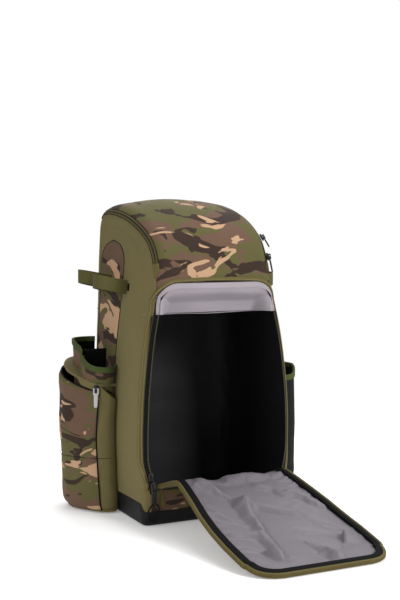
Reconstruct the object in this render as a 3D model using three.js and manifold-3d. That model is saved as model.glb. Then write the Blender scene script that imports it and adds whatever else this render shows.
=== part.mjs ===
// A bat backpack that stands on its base: a padded cloth body with a zipped hood, a front door that is
// folded down onto the floor, a pair of bat sleeves with elastic loops on each side, a zipped pocket on
// the left, a mesh bottle pocket on the right, and a back pad with two shoulder straps.
// Millimetres. +Z is up, -Y is the front, -X is the left side as seen from the front.
// The origin is the middle of the base's underside.

import * as THREE from "three";
import { mergeVertices } from "three/addons/utils/BufferGeometryUtils.js";
import Module from "manifold-3d";

const wasm = await Module();
wasm.setup();

// Driving sizes of the body
const bodyHeight = 597;
const bodyHalfWidth = 161.5;
const bodyDepth = 256;
const hoodCrown = 17;
const wall = 2.5;
const gap = 0.3;
const baseHeight = 42;
const baseFrontHeight = 27;
const baseEdgeRadius = 8;
const frontEdgeRadius = 28;
const backEdgeRadius = 20;
const sideBulge = 4;
const seamTurn = 52;
const seamInset = 5;
const hoodTaper = 14;

// Driving sizes of the front opening and its door
const sillHeight = 66;
const openingHeight = 386;
const openingMargin = 5;
const archRadius = 46;
const archDepth = 26;
const doorThickness = 5;
const doorRimWidth = 13;
const doorRimThickness = 3.2;
const zipperTapeWidth = 9;
const zipperTapeThickness = 1.5;
const pipingWidth = 7;
const pipingThickness = 2.4;

// Driving sizes of the side pieces
const sleeveDepth = 62;
const sleeveFront = -18;
const sleeveRear = 128;
const sleeveBottom = 95;
const sleeveRimFront = 287;
const sleeveRimRise = 48;
const bindingHeight = 10;
const bindingThickness = 1.5;
const strapWidth = 26;
const strapThickness = 1.8;
const strapReach = 55;
const strapHeight = 440;
const strapRise = 12;
const pocketDepth = 86;
const pocketFront = -6;
const pocketRear = 132;
const pocketBottom = 5;
const pocketTopRoot = 220;
const pocketTopFront = 250;
const pocketTopRear = 298;
const gussetWidth = 46;
const bottleDepth = 57;
const bottleFront = 10;
const bottleRear = 112;
const bottleBottom = 14;
const bottleRimFront = 245;
const bottleRimRise = 20;

// Driving sizes of the back pieces
const padHalfWidth = 118;
const padBottom = 70;
const padTop = 520;
const padThickness = 14;
const shoulderWidth = 62;
const shoulderThickness = 11;
const webbingWidth = 25;
const webbingThickness = 1.8;

const frontFace = -bodyDepth / 2;
const backFace = bodyDepth / 2;
const openingTop = sillHeight + openingHeight;

// Half width of the body at its front and back, as shares of bodyHalfWidth, by share of bodyHeight.
const widthRows = [
  { up: 0.0, front: 0.98, back: 0.935 },
  { up: 0.142, front: 0.99, back: 0.955 },
  { up: 0.276, front: 1.0, back: 0.97 },
  { up: 0.402, front: 0.982, back: 0.975 },
  { up: 0.519, front: 0.936, back: 0.97 },
  { up: 0.603, front: 0.889, back: 0.96 },
  { up: 0.693, front: 0.812, back: 0.945 },
  { up: 0.822, front: 0.756, back: 0.93 },
  { up: 1.0, front: 0.738, back: 0.895 },
];

// Side view of the front and hood, from the base's front edge to the top of the back. back is the
// distance behind the front face as a share of bodyDepth, and up the height as a share of bodyHeight.
const profileRows = [
  { back: 0.004, up: 0.1 },
  { back: 0.0, up: 0.25 },
  { back: 0.0, up: 0.4 },
  { back: 0.014, up: 0.585 },
  { back: 0.038, up: 0.732 },
  { back: 0.08, up: 0.822 },
  { back: 0.122, up: 0.863 },
  { back: 0.188, up: 0.899 },
  { back: 0.273, up: 0.926 },
  { back: 0.383, up: 0.951 },
  { back: 0.52, up: 0.975 },
  { back: 0.676, up: 0.992 },
  { back: 0.832, up: 1.0 },
  { back: 0.922, up: 0.992 },
  { back: 0.977, up: 0.968 },
];

// The door as it lies. out is the distance in front of the hinge as a share of openingHeight, up the
// height of its side edges over the floor as a share of sillHeight, half its half width as a share of
// the hinge's, and sag how far its middle hangs below its side edges, in millimetres.
const hingeHalf = 133;
const doorRows = [
  { out: 0.0, up: 1.007, half: 1.0, sag: 0 },
  { out: 0.06, up: 1.15, half: 0.95, sag: 4 },
  { out: 0.14, up: 1.3, half: 0.88, sag: 10 },
  { out: 0.2, up: 1.24, half: 0.895, sag: 11 },
  { out: 0.33, up: 1.02, half: 0.942, sag: 9 },
  { out: 0.46, up: 0.78, half: 0.995, sag: 7 },
  { out: 0.59, up: 0.55, half: 1.021, sag: 5 },
  { out: 0.72, up: 0.36, half: 1.035, sag: 3 },
  { out: 0.84, up: 0.19, half: 1.026, sag: 1 },
  { out: 0.94, up: 0.045, half: 1.01, sag: 0 },
  { out: 1.0, up: 0.008, half: 0.995, sag: 0 },
];
const doorCornerRadius = 52;

const lerp = (a, b, t) => a + (b - a) * t;
const clamp01 = (t) => Math.min(1, Math.max(0, t));
const smooth = (t) => clamp01(t) ** 2 * (3 - 2 * clamp01(t));

// Value of a column at a key, with straight lines between the rows.
function rowValue(rows, key, column, at) {
  const last = rows.length - 1;
  if (at <= rows[0][key]) return rows[0][column];
  for (let i = 0; i < last; i++) {
    const a = rows[i];
    const b = rows[i + 1];
    if (at <= b[key]) return lerp(a[column], b[column], (at - a[key]) / (b[key] - a[key]));
  }
  return rows[last][column];
}

// Half width of the body's outer surface at a depth and height.
function halfWidth(y, z) {
  const up = z / bodyHeight;
  const front = rowValue(widthRows, "up", "front", up);
  const back = rowValue(widthRows, "up", "back", up);
  const share = clamp01((y - frontFace) / bodyDepth);
  const bulge = sideBulge * Math.sin(Math.PI * share) * Math.sin(Math.PI * clamp01(up));
  return bodyHalfWidth * lerp(front, back, share) + bulge;
}

// Turns lists of vertices and faces into a manifold solid.
function solidFrom(points, faces) {
  const vertProperties = new Float32Array(points.length * 3);
  points.forEach((p, i) => vertProperties.set([p.x, p.y, p.z], i * 3));
  const triVerts = new Uint32Array(faces.flat());
  const solid = new wasm.Manifold(new wasm.Mesh({ numProp: 3, vertProperties, triVerts }));
  if (solid.volume() >= 0) return solid;
  const turned = new Uint32Array(faces.map(([a, b, c]) => [a, c, b]).flat());
  return new wasm.Manifold(new wasm.Mesh({ numProp: 3, vertProperties, triVerts: turned }));
}

// A three.js geometry as a manifold solid.
function solidOf(geometry) {
  const bare = geometry.index ? geometry.toNonIndexed() : geometry.clone();
  bare.deleteAttribute("normal");
  bare.deleteAttribute("uv");
  const merged = mergeVertices(bare, 1e-4);
  return new wasm.Manifold(
    new wasm.Mesh({
      numProp: 3,
      vertProperties: merged.attributes.position.array,
      triVerts: new Uint32Array(merged.index.array),
    }),
  );
}

// The biggest body of a solid, without the crumbs that a cut can leave.
function mainBody(solid) {
  return solid.decompose().reduce((a, b) => (b.volume() > a.volume() ? b : a));
}

const joined = (solids) => solids.reduce((a, b) => a.add(b));

// The same solid with its nearest vertices joined, which drops the slivers that a cut can leave.
const hair = 0.02;
function withoutSlivers(solid) {
  const { numProp, numVert, vertProperties, triVerts } = solid.getMesh();
  const positions = new Float32Array(numVert * 3);
  for (let i = 0; i < numVert; i++) {
    positions.set(vertProperties.subarray(i * numProp, i * numProp + 3), i * 3);
  }
  const geometry = new THREE.BufferGeometry();
  geometry.setAttribute("position", new THREE.BufferAttribute(positions, 3));
  geometry.setIndex(new THREE.BufferAttribute(new Uint32Array(triVerts), 1));
  const merged = mergeVertices(geometry, hair);
  const place = merged.attributes.position;
  const points = [];
  for (let i = 0; i < place.count; i++) points.push(new THREE.Vector3().fromBufferAttribute(place, i));
  const faces = [];
  for (let i = 0; i < merged.index.count; i += 3) {
    const [a, b, c] = merged.index.array.slice(i, i + 3);
    if (a !== b && b !== c && a !== c) faces.push([a, b, c]);
  }
  return solidFrom(points, faces);
}

// A closed loft through rings that all hold the same number of points, with a fan over each end.
function loft(rings) {
  const count = rings[0].length;
  const points = rings.flat();
  const faces = [];
  for (let r = 0; r + 1 < rings.length; r++) {
    for (let i = 0; i < count; i++) {
      const next = (i + 1) % count;
      const a = r * count + i;
      const b = r * count + next;
      faces.push([a, b, b + count], [a, b + count, a + count]);
    }
  }
  for (const end of [0, rings.length - 1]) {
    const centre = new THREE.Vector3();
    rings[end].forEach((p) => centre.addScaledVector(p, 1 / count));
    points.push(centre);
    for (let i = 0; i < count; i++) {
      const face = [points.length - 1, end * count + ((i + 1) % count), end * count + i];
      faces.push(end === 0 ? face : [face[0], face[2], face[1]]);
    }
  }
  return solidFrom(points, faces);
}

// A thick sheet between an outer and an inner grid of points of the same size.
function sheet(outer, inner) {
  const rows = outer.length;
  const columns = outer[0].length;
  const points = [...outer.flat(), ...inner.flat()];
  const half = rows * columns;
  const faces = [];
  const at = (side, r, c) => side * half + r * columns + c;
  for (let r = 0; r + 1 < rows; r++) {
    for (let c = 0; c + 1 < columns; c++) {
      const quad = (s) => [at(s, r, c), at(s, r, c + 1), at(s, r + 1, c + 1), at(s, r + 1, c)];
      const [a, b, d, e] = quad(0);
      faces.push([a, b, d], [a, d, e]);
      const [f, g, h, i] = quad(1);
      faces.push([f, h, g], [f, i, h]);
    }
  }
  const border = [];
  for (let c = 0; c < columns - 1; c++) border.push([0, c]);
  for (let r = 0; r < rows - 1; r++) border.push([r, columns - 1]);
  for (let c = columns - 1; c > 0; c--) border.push([rows - 1, c]);
  for (let r = rows - 1; r > 0; r--) border.push([r, 0]);
  border.forEach(([r, c], i) => {
    const [nr, nc] = border[(i + 1) % border.length];
    faces.push([at(0, r, c), at(1, r, c), at(1, nr, nc)], [at(0, r, c), at(1, nr, nc), at(0, nr, nc)]);
  });
  return solidFrom(points, faces);
}

// A flat band of a width and thickness swept along stations that each give a place, the direction
// across the band and the direction out of it.
function band(stations, width, thickness, closed = false) {
  const rings = stations.map(({ place, across, out }) =>
    [
      [-0.5, 0],
      [0.5, 0],
      [0.5, 1],
      [-0.5, 1],
    ].map(([a, o]) =>
      place.clone().addScaledVector(across, a * width).addScaledVector(out, o * thickness),
    ),
  );
  if (!closed) return loft(rings);
  const points = rings.flat();
  const faces = [];
  rings.forEach((_, r) => {
    const next = (r + 1) % rings.length;
    for (let i = 0; i < 4; i++) {
      const j = (i + 1) % 4;
      faces.push([r * 4 + i, r * 4 + j, next * 4 + j], [r * 4 + i, next * 4 + j, next * 4 + i]);
    }
  });
  return solidFrom(points, faces);
}

// Prisms: a flat outline in two of the axes, drawn through the third.
function prism(outline, low, high, basis) {
  const shape = new THREE.Shape(outline.map(([a, b]) => new THREE.Vector2(a, b)));
  const geometry = new THREE.ExtrudeGeometry(shape, { depth: high - low, bevelEnabled: false });
  geometry.translate(0, 0, low);
  return solidOf(geometry.applyMatrix4(basis));
}
const X = new THREE.Vector3(1, 0, 0);
const Y = new THREE.Vector3(0, 1, 0);
const Z = new THREE.Vector3(0, 0, 1);
const prismX = (outlineYZ, low, high) =>
  prism(outlineYZ, low, high, new THREE.Matrix4().makeBasis(Y, Z, X));
const prismY = (outlineXZ, low, high) =>
  prism(outlineXZ, -high, -low, new THREE.Matrix4().makeBasis(X, Z, Y.clone().negate()));
const prismZ = (outlineXY, low, high) =>
  prism(outlineXY, low, high, new THREE.Matrix4().makeBasis(X, Y, Z));

function box(x0, x1, y0, y1, z0, z1) {
  return prismZ([[x0, y0], [x1, y0], [x1, y1], [x0, y1]], z0, z1);
}

// Outline of the body in side view, as [y, z] points in order from the back of the base, along the
// floor, up the front, over the hood and down the back.
function profilePoints() {
  const r = baseEdgeRadius;
  const outline = [];
  for (const share of [0.35, 0.65]) outline.push([lerp(backFace, frontFace, share), 0]);
  const foot = [];
  for (let i = 0; i <= 2; i++) {
    const a = (i * Math.PI) / 4;
    foot.push([frontFace + r * (1 - Math.sin(a)) + 2, r * (1 - Math.cos(a))]);
  }
  outline.push(...foot);
  const rows = profileRows.map(
    ({ back, up }) => new THREE.Vector2(frontFace + back * bodyDepth, up * bodyHeight),
  );
  const start = foot[foot.length - 1];
  const curve = new THREE.SplineCurve([new THREE.Vector2(start[0], start[1]), ...rows]);
  const steps = 15;
  for (let i = 1; i <= steps; i++) {
    const p = curve.getPoint(i / steps);
    outline.push([p.x, p.y]);
  }
  const top = outline[outline.length - 1][1];
  for (const share of [0.95, 0.66, 0.33]) outline.push([backFace, lerp(0, top, share)]);
  for (let i = 0; i <= 2; i++) {
    const a = (i * Math.PI) / 4;
    outline.push([backFace - r * (1 - Math.cos(a)), r * (1 - Math.sin(a))]);
  }
  return outline;
}

const profile = profilePoints();

// Outward direction of the profile at each of its points.
const profileNormals = profile.map((_, i) => {
  const [ay, az] = profile[(i + profile.length - 1) % profile.length];
  const [by, bz] = profile[(i + 1) % profile.length];
  const length = Math.hypot(by - ay, bz - az);
  return [-(bz - az) / length, (by - ay) / length];
});

// Radius of the rounded edge between the side panel and the profile, at a point of the profile.
function edgeRadius(y, z) {
  const low = smooth(z / 60);
  const rear = smooth((y - (backFace - 40)) / 30);
  return lerp(baseEdgeRadius, lerp(frontEdgeRadius, backEdgeRadius, rear), low);
}

// The body as a closed solid, whose surface lies grow outside its real outer face.
function bodySolid(grow) {
  const rings = [];
  const crownAt = (z, share) => hoodCrown * (1 - share ** 2) * smooth((z - 0.79 * bodyHeight) / 100);
  const ring = (side, turn) =>
    profile.map(([y, z], i) => {
      const r = Math.max(edgeRadius(y, z) + grow, 1);
      const inset = r * (1 - Math.cos(turn)) - grow;
      const [ny, nz] = profileNormals[i];
      const py = y + ny * -inset;
      const pz = z + nz * -inset;
      const reach = halfWidth(y, z) + grow - r * (1 - Math.sin(turn));
      return new THREE.Vector3(side * reach, py, pz + crownAt(z, reach / halfWidth(y, z)));
    });
  const middle = (share) =>
    profile.map(([y, z], i) => {
      const [ny, nz] = profileNormals[i];
      const reach = (halfWidth(y, z) - edgeRadius(y, z)) * share;
      const crown = crownAt(z, reach / halfWidth(y, z));
      return new THREE.Vector3(reach, y + ny * grow, z + nz * grow + crown);
    });
  const cap = (side, scale) => {
    const edge = ring(side, Math.PI / 2);
    const centre = new THREE.Vector3(0, 0, bodyHeight * 0.48);
    return edge.map((p) => {
      const y = lerp(centre.y, p.y, scale);
      const z = lerp(centre.z, p.z, scale);
      return new THREE.Vector3(side * (halfWidth(y, z) + grow), y, z);
    });
  };
  const turns = [90, seamTurn, 22, 0].map((a) => (a * Math.PI) / 180);
  for (const scale of [0.08, 0.6]) rings.push(cap(-1, scale));
  for (const turn of turns) rings.push(ring(-1, turn));
  for (const share of [-0.5, 0, 0.5]) rings.push(middle(share));
  for (const turn of [...turns].reverse()) rings.push(ring(1, turn));
  for (const scale of [0.6, 0.08]) rings.push(cap(1, scale));
  return loft(rings);
}

const outerBody = bodySolid(0);
const clearBody = bodySolid(gap * 1.5);
const innerBody = bodySolid(-wall);
const clearInside = bodySolid(-wall - gap);

const EDGE_STEPS = 9;
const CORNER_STEPS = 4;

// Half width of the front opening by height. It follows the body's front edge, narrows a little to
// the hinge and ends in two round top corners.
function archHalf(z) {
  const along = (at) => halfWidth(frontFace, at) - openingMargin;
  const shoulder = openingTop - archRadius;
  const narrow = 9 * (1 - smooth((z - sillHeight) / 60));
  if (z <= shoulder) return along(z) - narrow;
  const share = clamp01((z - shoulder) / archRadius);
  return along(shoulder) - archRadius + archRadius * Math.sqrt(1 - share ** 2);
}

// Points of the opening's edge, from the left end of the hinge round the top to the right end, as
// x and z. inset moves them towards the middle of the opening.
function archPoints(inset = 0) {
  const right = [];
  const shoulder = openingTop - archRadius;
  for (let i = 0; i <= EDGE_STEPS; i++) {
    const z = lerp(sillHeight, shoulder, i / EDGE_STEPS);
    right.push([archHalf(z), z, 1, 0]);
  }
  for (let i = 1; i <= CORNER_STEPS; i++) {
    const a = (i * Math.PI) / 2 / CORNER_STEPS;
    const cx = archHalf(shoulder) - archRadius;
    const [c, s] = [Math.cos(a), Math.sin(a)];
    right.push([cx + archRadius * c, shoulder + archRadius * s, c, s]);
  }
  const top = right[right.length - 1];
  const left = right.map(([x, z, nx, nz]) => [-x, z, -nx, nz]);
  const middle = [0.5, 0, -0.5].map((s) => [top[0] * s, top[1] + 2 * (1 - s * s), 0, 1]);
  const loop = [...right, ...middle, ...left.reverse()].reverse();
  return loop.map(([x, z, nx, nz]) => [x - nx * inset, z - nz * inset]);
}

const archCut = prismY(archPoints(), frontFace - 60, frontFace + archDepth);
const shell = outerBody.subtract(innerBody).subtract(archCut);

// Everything between the two seams that run seamInset inside the side panels. The seams draw in
// below taperTop, towards the opening's corners.
const taperTop = sillHeight + openingHeight + 38;
function core(grow) {
  const low = -60;
  const high = bodyHeight + 90;
  const ys = [-260, frontFace, -81, -79, -45, 0, 45, 85, backFace, 260];
  const shares = [0, 0.151, 0.285, 0.402, 0.519, 0.611];
  const tapers = [75, 50, 25, 0].map((drop) => taperTop - drop);
  const zs = [low, ...shares.map((share) => share * bodyHeight), ...tapers, bodyHeight, high];
  const inset = (y, z) => seamInset + (y < -80 ? hoodTaper * smooth((taperTop - z) / 50) : 0);
  const face = (side) =>
    zs.map((z) => ys.map((y) => new THREE.Vector3(side * (halfWidth(y, z) - inset(y, z) + grow), y, z)));
  return sheet(face(-1), face(1));
}

// The parts of the shell that aren't side panel, each as a region. grow widens every region, so that
// a side panel that is cut by the wider region keeps a gap.
const hoodEnd = bodyHeight * 0.955;
const frontSeamEnd = sillHeight + openingHeight * 0.875;
const far = 400;
// A strip in side view along the front's upper part and over the hood, deep enough for its round edge.
function hoodOutline(grow) {
  const depth = frontEdgeRadius + 6;
  const strip = profile
    .map(([y, z], i) => ({ y, z, n: profileNormals[i] }))
    .filter(({ y, z }) => z > frontSeamEnd + 4 && (y < backFace - 1 || z > hoodEnd + 4));
  const at = ({ y, z, n }, lift) => [y + n[0] * lift, z + n[1] * lift];
  return [
    [frontFace - depth, frontSeamEnd - grow],
    ...strip.map((p) => at(p, depth)),
    [backFace + depth, hoodEnd - grow],
    [backFace - 18, hoodEnd - grow],
    ...strip.slice(0, -2).map((p) => at(p, -depth)).reverse(),
    [frontFace + depth, frontSeamEnd - grow],
  ];
}
function regions(grow) {
  const base = prismX(
    [[-far, -far], [far, -far], [far, baseHeight + grow], [frontFace + 14, baseHeight + grow],
      [frontFace + 2, baseFrontHeight + grow], [-far, baseFrontHeight + grow]],
    -far,
    far,
  );
  const seams = core(grow);
  const hood = seams.intersect(prismX(hoodOutline(grow), -far, far));
  const back = seams.intersect(
    prismX(
      [[backFace - 18 - grow, baseHeight - grow], [far, baseHeight - grow], [far, hoodEnd - gap + grow],
        [backFace - 18 - grow, hoodEnd - gap + grow]],
      -far,
      far,
    ),
  );
  const sillHalf = archHalf(sillHeight) - 4;
  const sill = box(-sillHalf - grow, sillHalf + grow, -far, frontFace + 30, 0, sillHeight + 6);
  return { base, hood, back, sill };
}
const exact = regions(0);
const wide = regions(gap);

const baseTub = shell.intersect(exact.base);
const hoodPanel = shell.intersect(exact.hood);
const backPanel = shell.intersect(exact.back).subtract(wide.base);
const frontSill = shell.intersect(exact.sill).subtract(wide.base);
const sides = shell
  .subtract(wide.base)
  .subtract(wide.hood)
  .subtract(wide.back)
  .subtract(wide.sill);

// Arched camouflage inset in the side, in side view.
const insetFront = 6;
const insetRear = backFace - 26;
const insetBottom = baseHeight + 6;
const insetTop = bodyHeight - 66;
const insetRadius = 46;
function insetOutline(grow) {
  const front = insetFront - grow;
  const rear = insetRear + grow;
  const low = insetBottom - grow;
  const top = insetTop + grow;
  const r = insetRadius;
  const outline = [[rear, low], [rear, top - r]];
  for (let i = 1; i < 6; i++) {
    const a = (i * Math.PI) / 12;
    outline.push([rear - r * (1 - Math.cos(a)), top - r * (1 - Math.sin(a))]);
  }
  for (let i = 6; i > 0; i--) {
    const a = (i * Math.PI) / 12;
    outline.push([front + r * (1 - Math.cos(a)), top - r * (1 - Math.sin(a))]);
  }
  outline.push([front, top - r], [front, low]);
  return outline;
}
function sideHalf(side) {
  return side < 0 ? [-far, -60] : [60, far];
}
function sideCloth(side) {
  const [low, high] = sideHalf(side);
  return sides.intersect(box(low, high, -far, far, 0, bodyHeight + far));
}
function sidePanel(side) {
  const hole = prismX(insetOutline(gap), ...sideHalf(side));
  return withoutSlivers(mainBody(sideCloth(side).subtract(hole)));
}
const rightInset = withoutSlivers(mainBody(sideCloth(1).intersect(prismX(insetOutline(0), ...sideHalf(1)))));

// The grey divider: a sloping front flap under the hood and the shelf behind it.
const dividerThickness = 2;
const dividerDrop = 56;
const dividerSlope = 34;
function dividerPiece() {
  const top = openingTop - 4;
  const low = top - dividerDrop;
  const y0 = frontFace + archDepth - 10;
  const y1 = y0 + dividerSlope;
  const t = dividerThickness;
  const outline = [
    [y0, top], [y0 + t, top], [y1 + t, low + t], [backFace, low + t],
    [backFace, low], [y1, low], [y0, top - 6],
  ];
  return clearInside.intersect(prismX(outline, -far, far));
}

// The line in side view that the door's side edges follow.
const doorCurve = new THREE.CatmullRomCurve3(
  doorRows.map(
    ({ out, up }) => new THREE.Vector3(0, frontFace + 4 - out * openingHeight, up * sillHeight),
  ),
);
const doorLength = doorCurve.getLength();
function doorHalf(v) {
  return hingeHalf * rowValue(doorRows, "out", "half", v / doorLength);
}
// A point of the door: u across it, v from the hinge and w above its underside.
function doorPoint(u, v, w) {
  const t = clamp01(v / doorLength);
  const along = doorCurve.getTangentAt(t);
  const out = new THREE.Vector3().crossVectors(along, X).normalize();
  const share = clamp01(1 - (u / doorHalf(v)) ** 2);
  const place = doorCurve.getPointAt(t).addScaledVector(out, w).addScaledVector(X, u);
  place.z -= share * rowValue(doorRows, "out", "sag", t);
  return place;
}
const DOOR_STEPS = 11;
const doorShoulder = doorLength - doorCornerRadius;
// The right half of the door's outline, from the hinge to the middle of the far edge, as u and v with
// the outline's outward direction.
function doorOutline() {
  const rows = [];
  for (let i = 0; i <= DOOR_STEPS; i++) {
    const v = lerp(0, doorShoulder, i / DOOR_STEPS);
    rows.push([doorHalf(v), v, 1, 0]);
  }
  const corner = doorHalf(doorLength) - doorCornerRadius;
  for (let i = 1; i <= CORNER_STEPS; i++) {
    const a = (i * Math.PI) / 2 / CORNER_STEPS;
    const [c, s] = [Math.cos(a), Math.sin(a)];
    rows.push([corner + doorCornerRadius * c, doorShoulder + doorCornerRadius * s, c, s]);
  }
  return rows;
}
// The zipper rim round the door's free edge, between two insets and two heights.
function doorRim(from, to, low, high) {
  const right = doorOutline();
  const corner = right[right.length - 1][0];
  const left = right.map(([u, v, a, b]) => [-u, v, -a, b]).reverse();
  const loop = [...right, [corner / 3, doorLength, 0, 1], [-corner / 3, doorLength, 0, 1], ...left];
  const line = (inset) => loop.map(([u, v, a, b]) => [u - a * inset, v - b * inset]);
  const lines = [line(from), line(to)];
  const grid = (w) => lines.map((points) => points.map(([u, v]) => doorPoint(u, v, w)));
  return sheet(grid(high), grid(low));
}
function doorPanel() {
  const shares = [-1, -0.6, -0.2, 0.2, 0.6, 1];
  const inset = doorRimWidth + gap * 2;
  const rows = doorOutline().map(([u, v, a, b]) => [u - a * inset, v - b * inset]);
  const grid = (w) => rows.map(([u, v]) => shares.map((s) => doorPoint(s * u, v, w)));
  return sheet(grid(doorThickness), grid(0));
}

// Stations round the opening's edge on the body's front, with the direction out of the body.
function openingStations(inset, lift) {
  const loop = archPoints(inset);
  return loop.map(([x, z], i) => {
    const [ax, az] = loop[Math.max(i - 1, 0)];
    const [bx, bz] = loop[Math.min(i + 1, loop.length - 1)];
    const place = new THREE.Vector3(x, surfaceFront(x, z) - lift, z);
    const along = new THREE.Vector3(bx - ax, surfaceFront(bx, bz) - surfaceFront(ax, az), bz - az);
    along.normalize();
    const out = surfaceOut(x, z);
    out.addScaledVector(along, -out.dot(along)).normalize();
    return { place, across: new THREE.Vector3().crossVectors(along, out), out };
  });
}
// Depth of the body's outer face at the front, at an x and z, from the profile and the round edge.
function frontDepth(z) {
  for (let i = 0; i + 1 < profile.length; i++) {
    const [ay, az] = profile[i];
    const [by, bz] = profile[i + 1];
    if (az <= z && z < bz && ay < 0) return lerp(ay, by, (z - az) / (bz - az));
  }
  return frontFace;
}
function surfaceFront(x, z) {
  const y = frontDepth(z);
  const half = halfWidth(y, z);
  const r = edgeRadius(y, z);
  const over = clamp01((Math.abs(x) - (half - r)) / r);
  return y + r * (1 - Math.sqrt(Math.max(0, 1 - over ** 2)));
}
function surfaceOut(x, z) {
  const e = 1.5;
  const dx = (surfaceFront(x + e, z) - surfaceFront(x - e, z)) / (2 * e);
  const dz = (surfaceFront(x, z + e) - surfaceFront(x, z - e)) / (2 * e);
  return new THREE.Vector3(dx, -1, dz).normalize();
}

// The piping lies just outside the opening's edge and the zipper tape just inside it.
const edgeStep = 0.6;
const openingBinding = band(
  openingStations(-pipingWidth * 0.5 - edgeStep, edgeStep),
  pipingWidth,
  pipingThickness,
).subtract(clearBody);
const openingTape = band(
  openingStations(zipperTapeWidth * 0.5 + edgeStep, 0),
  zipperTapeWidth,
  zipperTapeThickness,
).subtract(clearBody);

// The hood's zipper lies on the seam between the side panels and the hood, and crosses the back.
const hoodZipperWidth = 11;
const hoodZipperThickness = 2;
const zipperStart = 0.815;
function seamStation(side, index) {
  const turn = (seamTurn * Math.PI) / 180;
  const [y, z] = profile[index];
  const [ny, nz] = profileNormals[index];
  const r = edgeRadius(y, z);
  const inset = r * (1 - Math.cos(turn));
  const reach = halfWidth(y, z) - r * (1 - Math.sin(turn));
  const crown = hoodCrown * (1 - (reach / halfWidth(y, z)) ** 2) * smooth((z - 0.79 * bodyHeight) / 100);
  const place = new THREE.Vector3(side * reach, y - ny * inset, z - nz * inset + crown);
  const out = new THREE.Vector3(side * Math.sin(turn), ny * Math.cos(turn), nz * Math.cos(turn));
  return { place, out: out.normalize() };
}
// The seam at a height on the front: its place, its direction upwards and the direction out.
function seamAt(side, z) {
  const i = profile.findIndex(([y, high], k) => y < 0 && high <= z && profile[k + 1][1] > z);
  const low = seamStation(side, i);
  const high = seamStation(side, i + 1);
  const t = (z - profile[i][1]) / (profile[i + 1][1] - profile[i][1]);
  return {
    place: low.place.clone().lerp(high.place, t),
    out: low.out.clone().lerp(high.out, t).normalize(),
    along: high.place.clone().sub(low.place).normalize(),
  };
}
const seamIndices = profile
  .map(([y, z], i) => ({ i, y, z }))
  .filter(({ y, z }) => z > zipperStart * bodyHeight && (y < backFace - 1 || z > hoodEnd))
  .map(({ i }) => i);
function hoodZipperStations() {
  const left = seamIndices.map((i) => seamStation(-1, i));
  const right = seamIndices.map((i) => seamStation(1, i)).reverse();
  const rearLeft = left[left.length - 1].place;
  const across = [];
  const rearZ = hoodEnd + 4;
  const reach = Math.abs(rearLeft.x) - 4;
  for (const share of [-1, -0.9, -0.45, 0, 0.45, 0.9, 1]) {
    const atCorner = Math.abs(share) === 1;
    const rise = atCorner ? 4.8 : 0;
    across.push({
      place: new THREE.Vector3(share * reach, backFace - rise * 0.4, rearZ + rise),
      out: new THREE.Vector3(atCorner ? share * 0.7 : 0, 1, 0.05).normalize(),
    });
  }
  const all = [...left, ...across, ...right];
  return all.map(({ place, out }, i) => {
    const before = all[Math.max(i - 1, 0)].place;
    const after = all[Math.min(i + 1, all.length - 1)].place;
    const along = after.clone().sub(before).normalize();
    const lifted = out.clone().addScaledVector(along, -out.dot(along)).normalize();
    return {
      place: place.clone().addScaledVector(lifted, -1),
      across: new THREE.Vector3().crossVectors(along, lifted),
      out: lifted,
    };
  });
}
const hoodZipper = mainBody(
  band(hoodZipperStations(), hoodZipperWidth, hoodZipperThickness + 1.6).subtract(clearBody),
);

// Plan outline of a pouch on the side of the body. It starts and ends inside the body. angle runs
// from the front edge (0) round the outside to the rear edge (1).
function pouchPoint({ front, rear, depth, squareness, tuck, dip }, angle, inset) {
  const a = angle * Math.PI;
  const middle = (front + rear) / 2;
  const reach = (rear - front) / 2 - inset;
  const power = 2 / squareness;
  const c = Math.cos(a);
  const s = Math.max(Math.sin(a), 0);
  const out = (depth - inset) * s ** power;
  const shift = tuck * (1 - clamp01(out / (0.42 * depth))) ** 2 * (c > 0 ? 1 : -0.25);
  const y = middle - reach * Math.sign(c) * Math.abs(c) ** power + shift;
  const pinch = dip * Math.exp(-(((y - middle) / 11) ** 2));
  return [Math.max(out - pinch, 0), y];
}
const POUCH_STEPS = 12;

// A loft of pouch outlines. levels gives, for each level, the outline's sizes and its height, which
// may vary along the outline. attach is the x of the surface that the pouch hangs on.
function pouchLoft(side, levels, attach, inset, sink) {
  return loft(
    levels.map(({ sizes, height }) => {
      const ring = [];
      for (let i = 0; i <= POUCH_STEPS; i++) {
        const [out, y] = pouchPoint(sizes, i / POUCH_STEPS, inset);
        const z = height(y, out);
        ring.push(new THREE.Vector3(side * (attach(y, z) + out), y, z));
      }
      const first = ring[0];
      const last = ring[ring.length - 1];
      ring.push(new THREE.Vector3(last.x - side * sink, last.y, last.z));
      ring.push(new THREE.Vector3(first.x - side * sink, first.y, first.z));
      return ring;
    }),
  );
}

// Outlines of the bat sleeve from its rim down to its foot. It slims behind the pockets below its rim.
const sleeveSizes = {
  front: sleeveFront,
  rear: sleeveRear,
  depth: sleeveDepth,
  squareness: 3,
  tuck: 20,
  dip: 7,
};
const sleeveMiddleSizes = {
  ...sleeveSizes,
  front: sleeveFront + 16,
  depth: sleeveDepth - 9,
  tuck: 8,
};
const sleeveLowSizes = {
  ...sleeveSizes,
  front: sleeveFront + 19,
  rear: sleeveRear - 3,
  depth: sleeveDepth - 7,
  tuck: 4,
};
const sleeveFootSizes = {
  ...sleeveLowSizes,
  front: sleeveFront + 21,
  depth: sleeveDepth - 9,
};
const sleeveRim = (y) => sleeveRimFront + sleeveRimRise * smooth((y - sleeveFront) / 115);
const onBody = (y, z) => halfWidth(y, z);
const flat = (z) => () => z;
// Height of the zipped pocket's slanting top, by depth and by distance out from the side.
function pocketTop(y, out = 44) {
  const front = lerp(pocketTopRoot, pocketTopFront, clamp01(out / 44));
  return lerp(front, pocketTopRear, clamp01((y - pocketFront) / (pocketRear - pocketFront)));
}

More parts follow.
